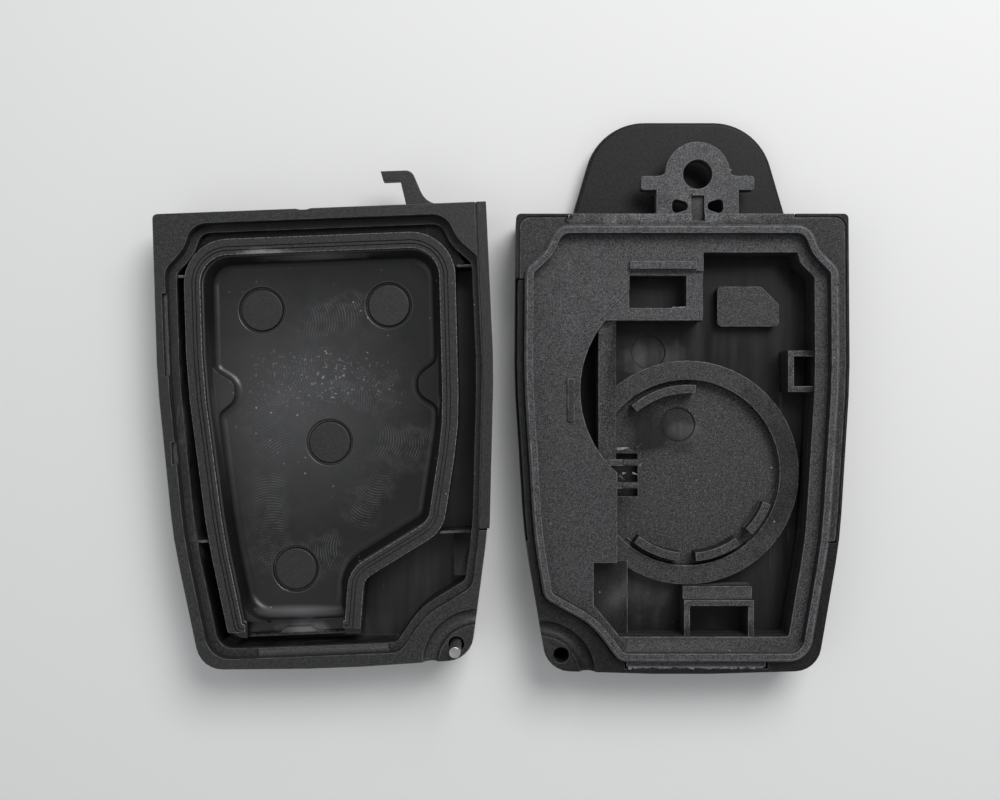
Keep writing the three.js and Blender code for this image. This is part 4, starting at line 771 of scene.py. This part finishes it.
def makeTrayCorner():
    bm = bmesh.new()
    out = Vector((cos(trayCorner["start"]), sin(trayCorner["start"]), 0))
    section = [bm.verts.new(Vector((*trayCorner["centre"], z)) + out * (trayCorner["radius"] + step))
               for step, z in trayCorner["wall"]]
    edges = [bm.edges.new(pair) for pair in zip(section, section[1:])]
    bmesh.ops.spin(bm, geom=section + edges, cent=(*trayCorner["centre"], 0), axis=(0, 0, 1),
                   angle=trayCorner["sweep"], steps=trayCorner["steps"], use_merge=False)
    for point, away in trayCorner["trims"]:
        bmesh.ops.bisect_plane(bm, geom=bm.verts[:] + bm.edges[:] + bm.faces[:], plane_co=point, plane_no=away,
                               clear_outer=True)
    bmesh.ops.recalc_face_normals(bm, faces=bm.faces)
    if sum(face.normal.z for face in bm.faces) < 0:
        bmesh.ops.reverse_faces(bm, faces=bm.faces)
    bmesh.ops.solidify(bm, geom=bm.faces[:], thickness=trayCorner["thick"])
    return bm


mesh = finished("tray_corner", makeTrayCorner(), frontPlace)
show("tray_corner", mesh, "keypad_tray", "front_half")

# Torn edge along the foot of the tray
footBurr = {
    "line": [(-11.4, -24.95), (1.0, -24.95)], "foot": 4.2,
    "stands": (0, -0.08, 0.5), "thick": 0.12, "torn": 0.9, "cuts": 48,
}
mesh = finished("tray_foot_burr", raggedFin(**footBurr), frontPlace)
show("tray_foot_burr", mesh, "keypad_tray", "front_half")

# Curl of flash at the housing's upper left corner
flashCurl = {
    "at": (-14.25, 28.75, 7.5), "radius": 0.34, "foot": -0.05, "width": 0.3, "lean": 0.02, "thick": 0.06,
    "turn": radians(250), "steps": 14, "climb": (0.02, 0.01, 0.012), "tilt": radians(24),
}


def makeFlashCurl():
    bm = bmesh.new()
    low = bm.verts.new((flashCurl["radius"], 0, flashCurl["foot"]))
    high = bm.verts.new((flashCurl["radius"], flashCurl["lean"], flashCurl["width"]))
    edge = bm.edges.new((low, high))
    bmesh.ops.spin(bm, geom=[low, high, edge], cent=(0, 0, 0), axis=(0, 0, 1), dvec=flashCurl["climb"],
                   angle=flashCurl["turn"], steps=flashCurl["steps"])
    bmesh.ops.recalc_face_normals(bm, faces=bm.faces)
    bmesh.ops.solidify(bm, geom=bm.faces[:], thickness=flashCurl["thick"])
    return bm


curlPlace = rearPlace @ Matrix.Translation(flashCurl["at"]) @ Matrix.Rotation(flashCurl["tilt"], 4, "X")
mesh = finished("flash_curl", makeFlashCurl(), curlPlace)
show("flash_curl", mesh, "rear_housing", "rear_half")


def roundedBlock(size, radius, steps):
    bm = bmesh.new()
    bmesh.ops.create_cube(bm, size=1)
    bmesh.ops.scale(bm, vec=size, verts=bm.verts)
    bmesh.ops.bevel(bm, geom=bm.edges, offset=radius, affect="EDGES", segments=steps, profile=0.5, material=-1)
    return bm


# Rounded tips of the spring fingers
fingerTips = {
    "size": (2.05, 0.82, 0.5), "radius": 0.24, "steps": 4,
    "at": [(-6.55, -2.35, 7.12), (-6.6, -5.25, 7.12)],
}
for k, at in enumerate(fingerTips["at"]):
    name = "finger_tip_%d" % (k + 1)
    bm = roundedBlock(fingerTips["size"], fingerTips["radius"], fingerTips["steps"])
    mesh = finished(name, bm, rearPlace @ Matrix.Translation(at))
    show(name, mesh, "rear_housing", "rear_half")

# Chips where the spring fingers were trimmed: place, length, width, way they point, finish
fingerChips = {
    "sides": 5, "butt": 1 / 2, "tip": 1 / 9, "lean": radians(82), "flat": 0.7,
    "seed": 7, "grain": 4, "roughness": 0.28,
    "chips": [
        ((-7.5, -0.6, 7.15), 1.5, 0.45, 4, "flash"), ((-6.4, -0.85, 7.1), 0.8, 0.3, -15, "rear_housing"),
        ((-7.3, -3.75, 6.95), 0.5, 0.3, 10, "flash"), ((-5.95, -3.8, 6.95), 0.7, 0.32, -20, "flash"),
        ((-5.3, -1.4, 7.0), 0.9, 0.4, 70, "rear_housing"), ((-4.9, -0.4, 3.25), 1.0, 0.35, 40, "rear_housing"),
        ((-5.2, -2.6, 6.9), 0.5, 0.25, 50, "flash"), ((-5.25, -4.5, 6.9), 0.6, 0.28, 80, "rear_housing"),
        ((-7.6, -4.3, 6.9), 0.9, 0.35, -35, "rear_housing"),
    ],
}
noise.seed_set(fingerChips["seed"])
for k, (at, length, width, turn, finish) in enumerate(fingerChips["chips"]):
    name = "finger_chip_%d" % (k + 1)
    bm = bmesh.new()
    bmesh.ops.create_cone(bm, cap_ends=True, segments=fingerChips["sides"], radius1=width * fingerChips["butt"],
                          radius2=width * fingerChips["tip"], depth=length)
    bmesh.ops.subdivide_edges(bm, edges=bm.edges, cuts=1, use_grid_fill=True)
    for vert in bm.verts:
        push = Vector(noise.noise_vector(vert.co * fingerChips["grain"] + Vector(at)))
        vert.co += push * width * fingerChips["roughness"]
    lean = (Matrix.Rotation(radians(turn), 4, "Z") @ Matrix.Rotation(fingerChips["lean"], 4, "Y")
            @ Matrix.Scale(fingerChips["flat"], 4, (1, 0, 0)))
    mesh = finished(name, bm, rearPlace @ Matrix.Translation(at) @ lean)
    show(name, mesh, finish, "rear_half")

# Ticks across the lip where the mould's inserts met: place and turn
lipTicks = {
    "size": (1.0, 0.16, 0.1), "radius": 0.03, "steps": 2,
    "at": [((19.25, 20.1, 8.69), 0), ((17.85, -12.2, 8.69), 8)],
}
for k, (at, turn) in enumerate(lipTicks["at"]):
    name = "lip_tick_%d" % (k + 1)
    bm = roundedBlock(lipTicks["size"], lipTicks["radius"], lipTicks["steps"])
    tickPlace = rearPlace @ Matrix.Translation(at) @ Matrix.Rotation(radians(turn), 4, "Z")
    show(name, finished(name, bm, tickPlace), "rear_housing", "rear_half")
print("flash, chips and ticks in place")

bpy.context.scene.view_settings.view_transform = "Standard"
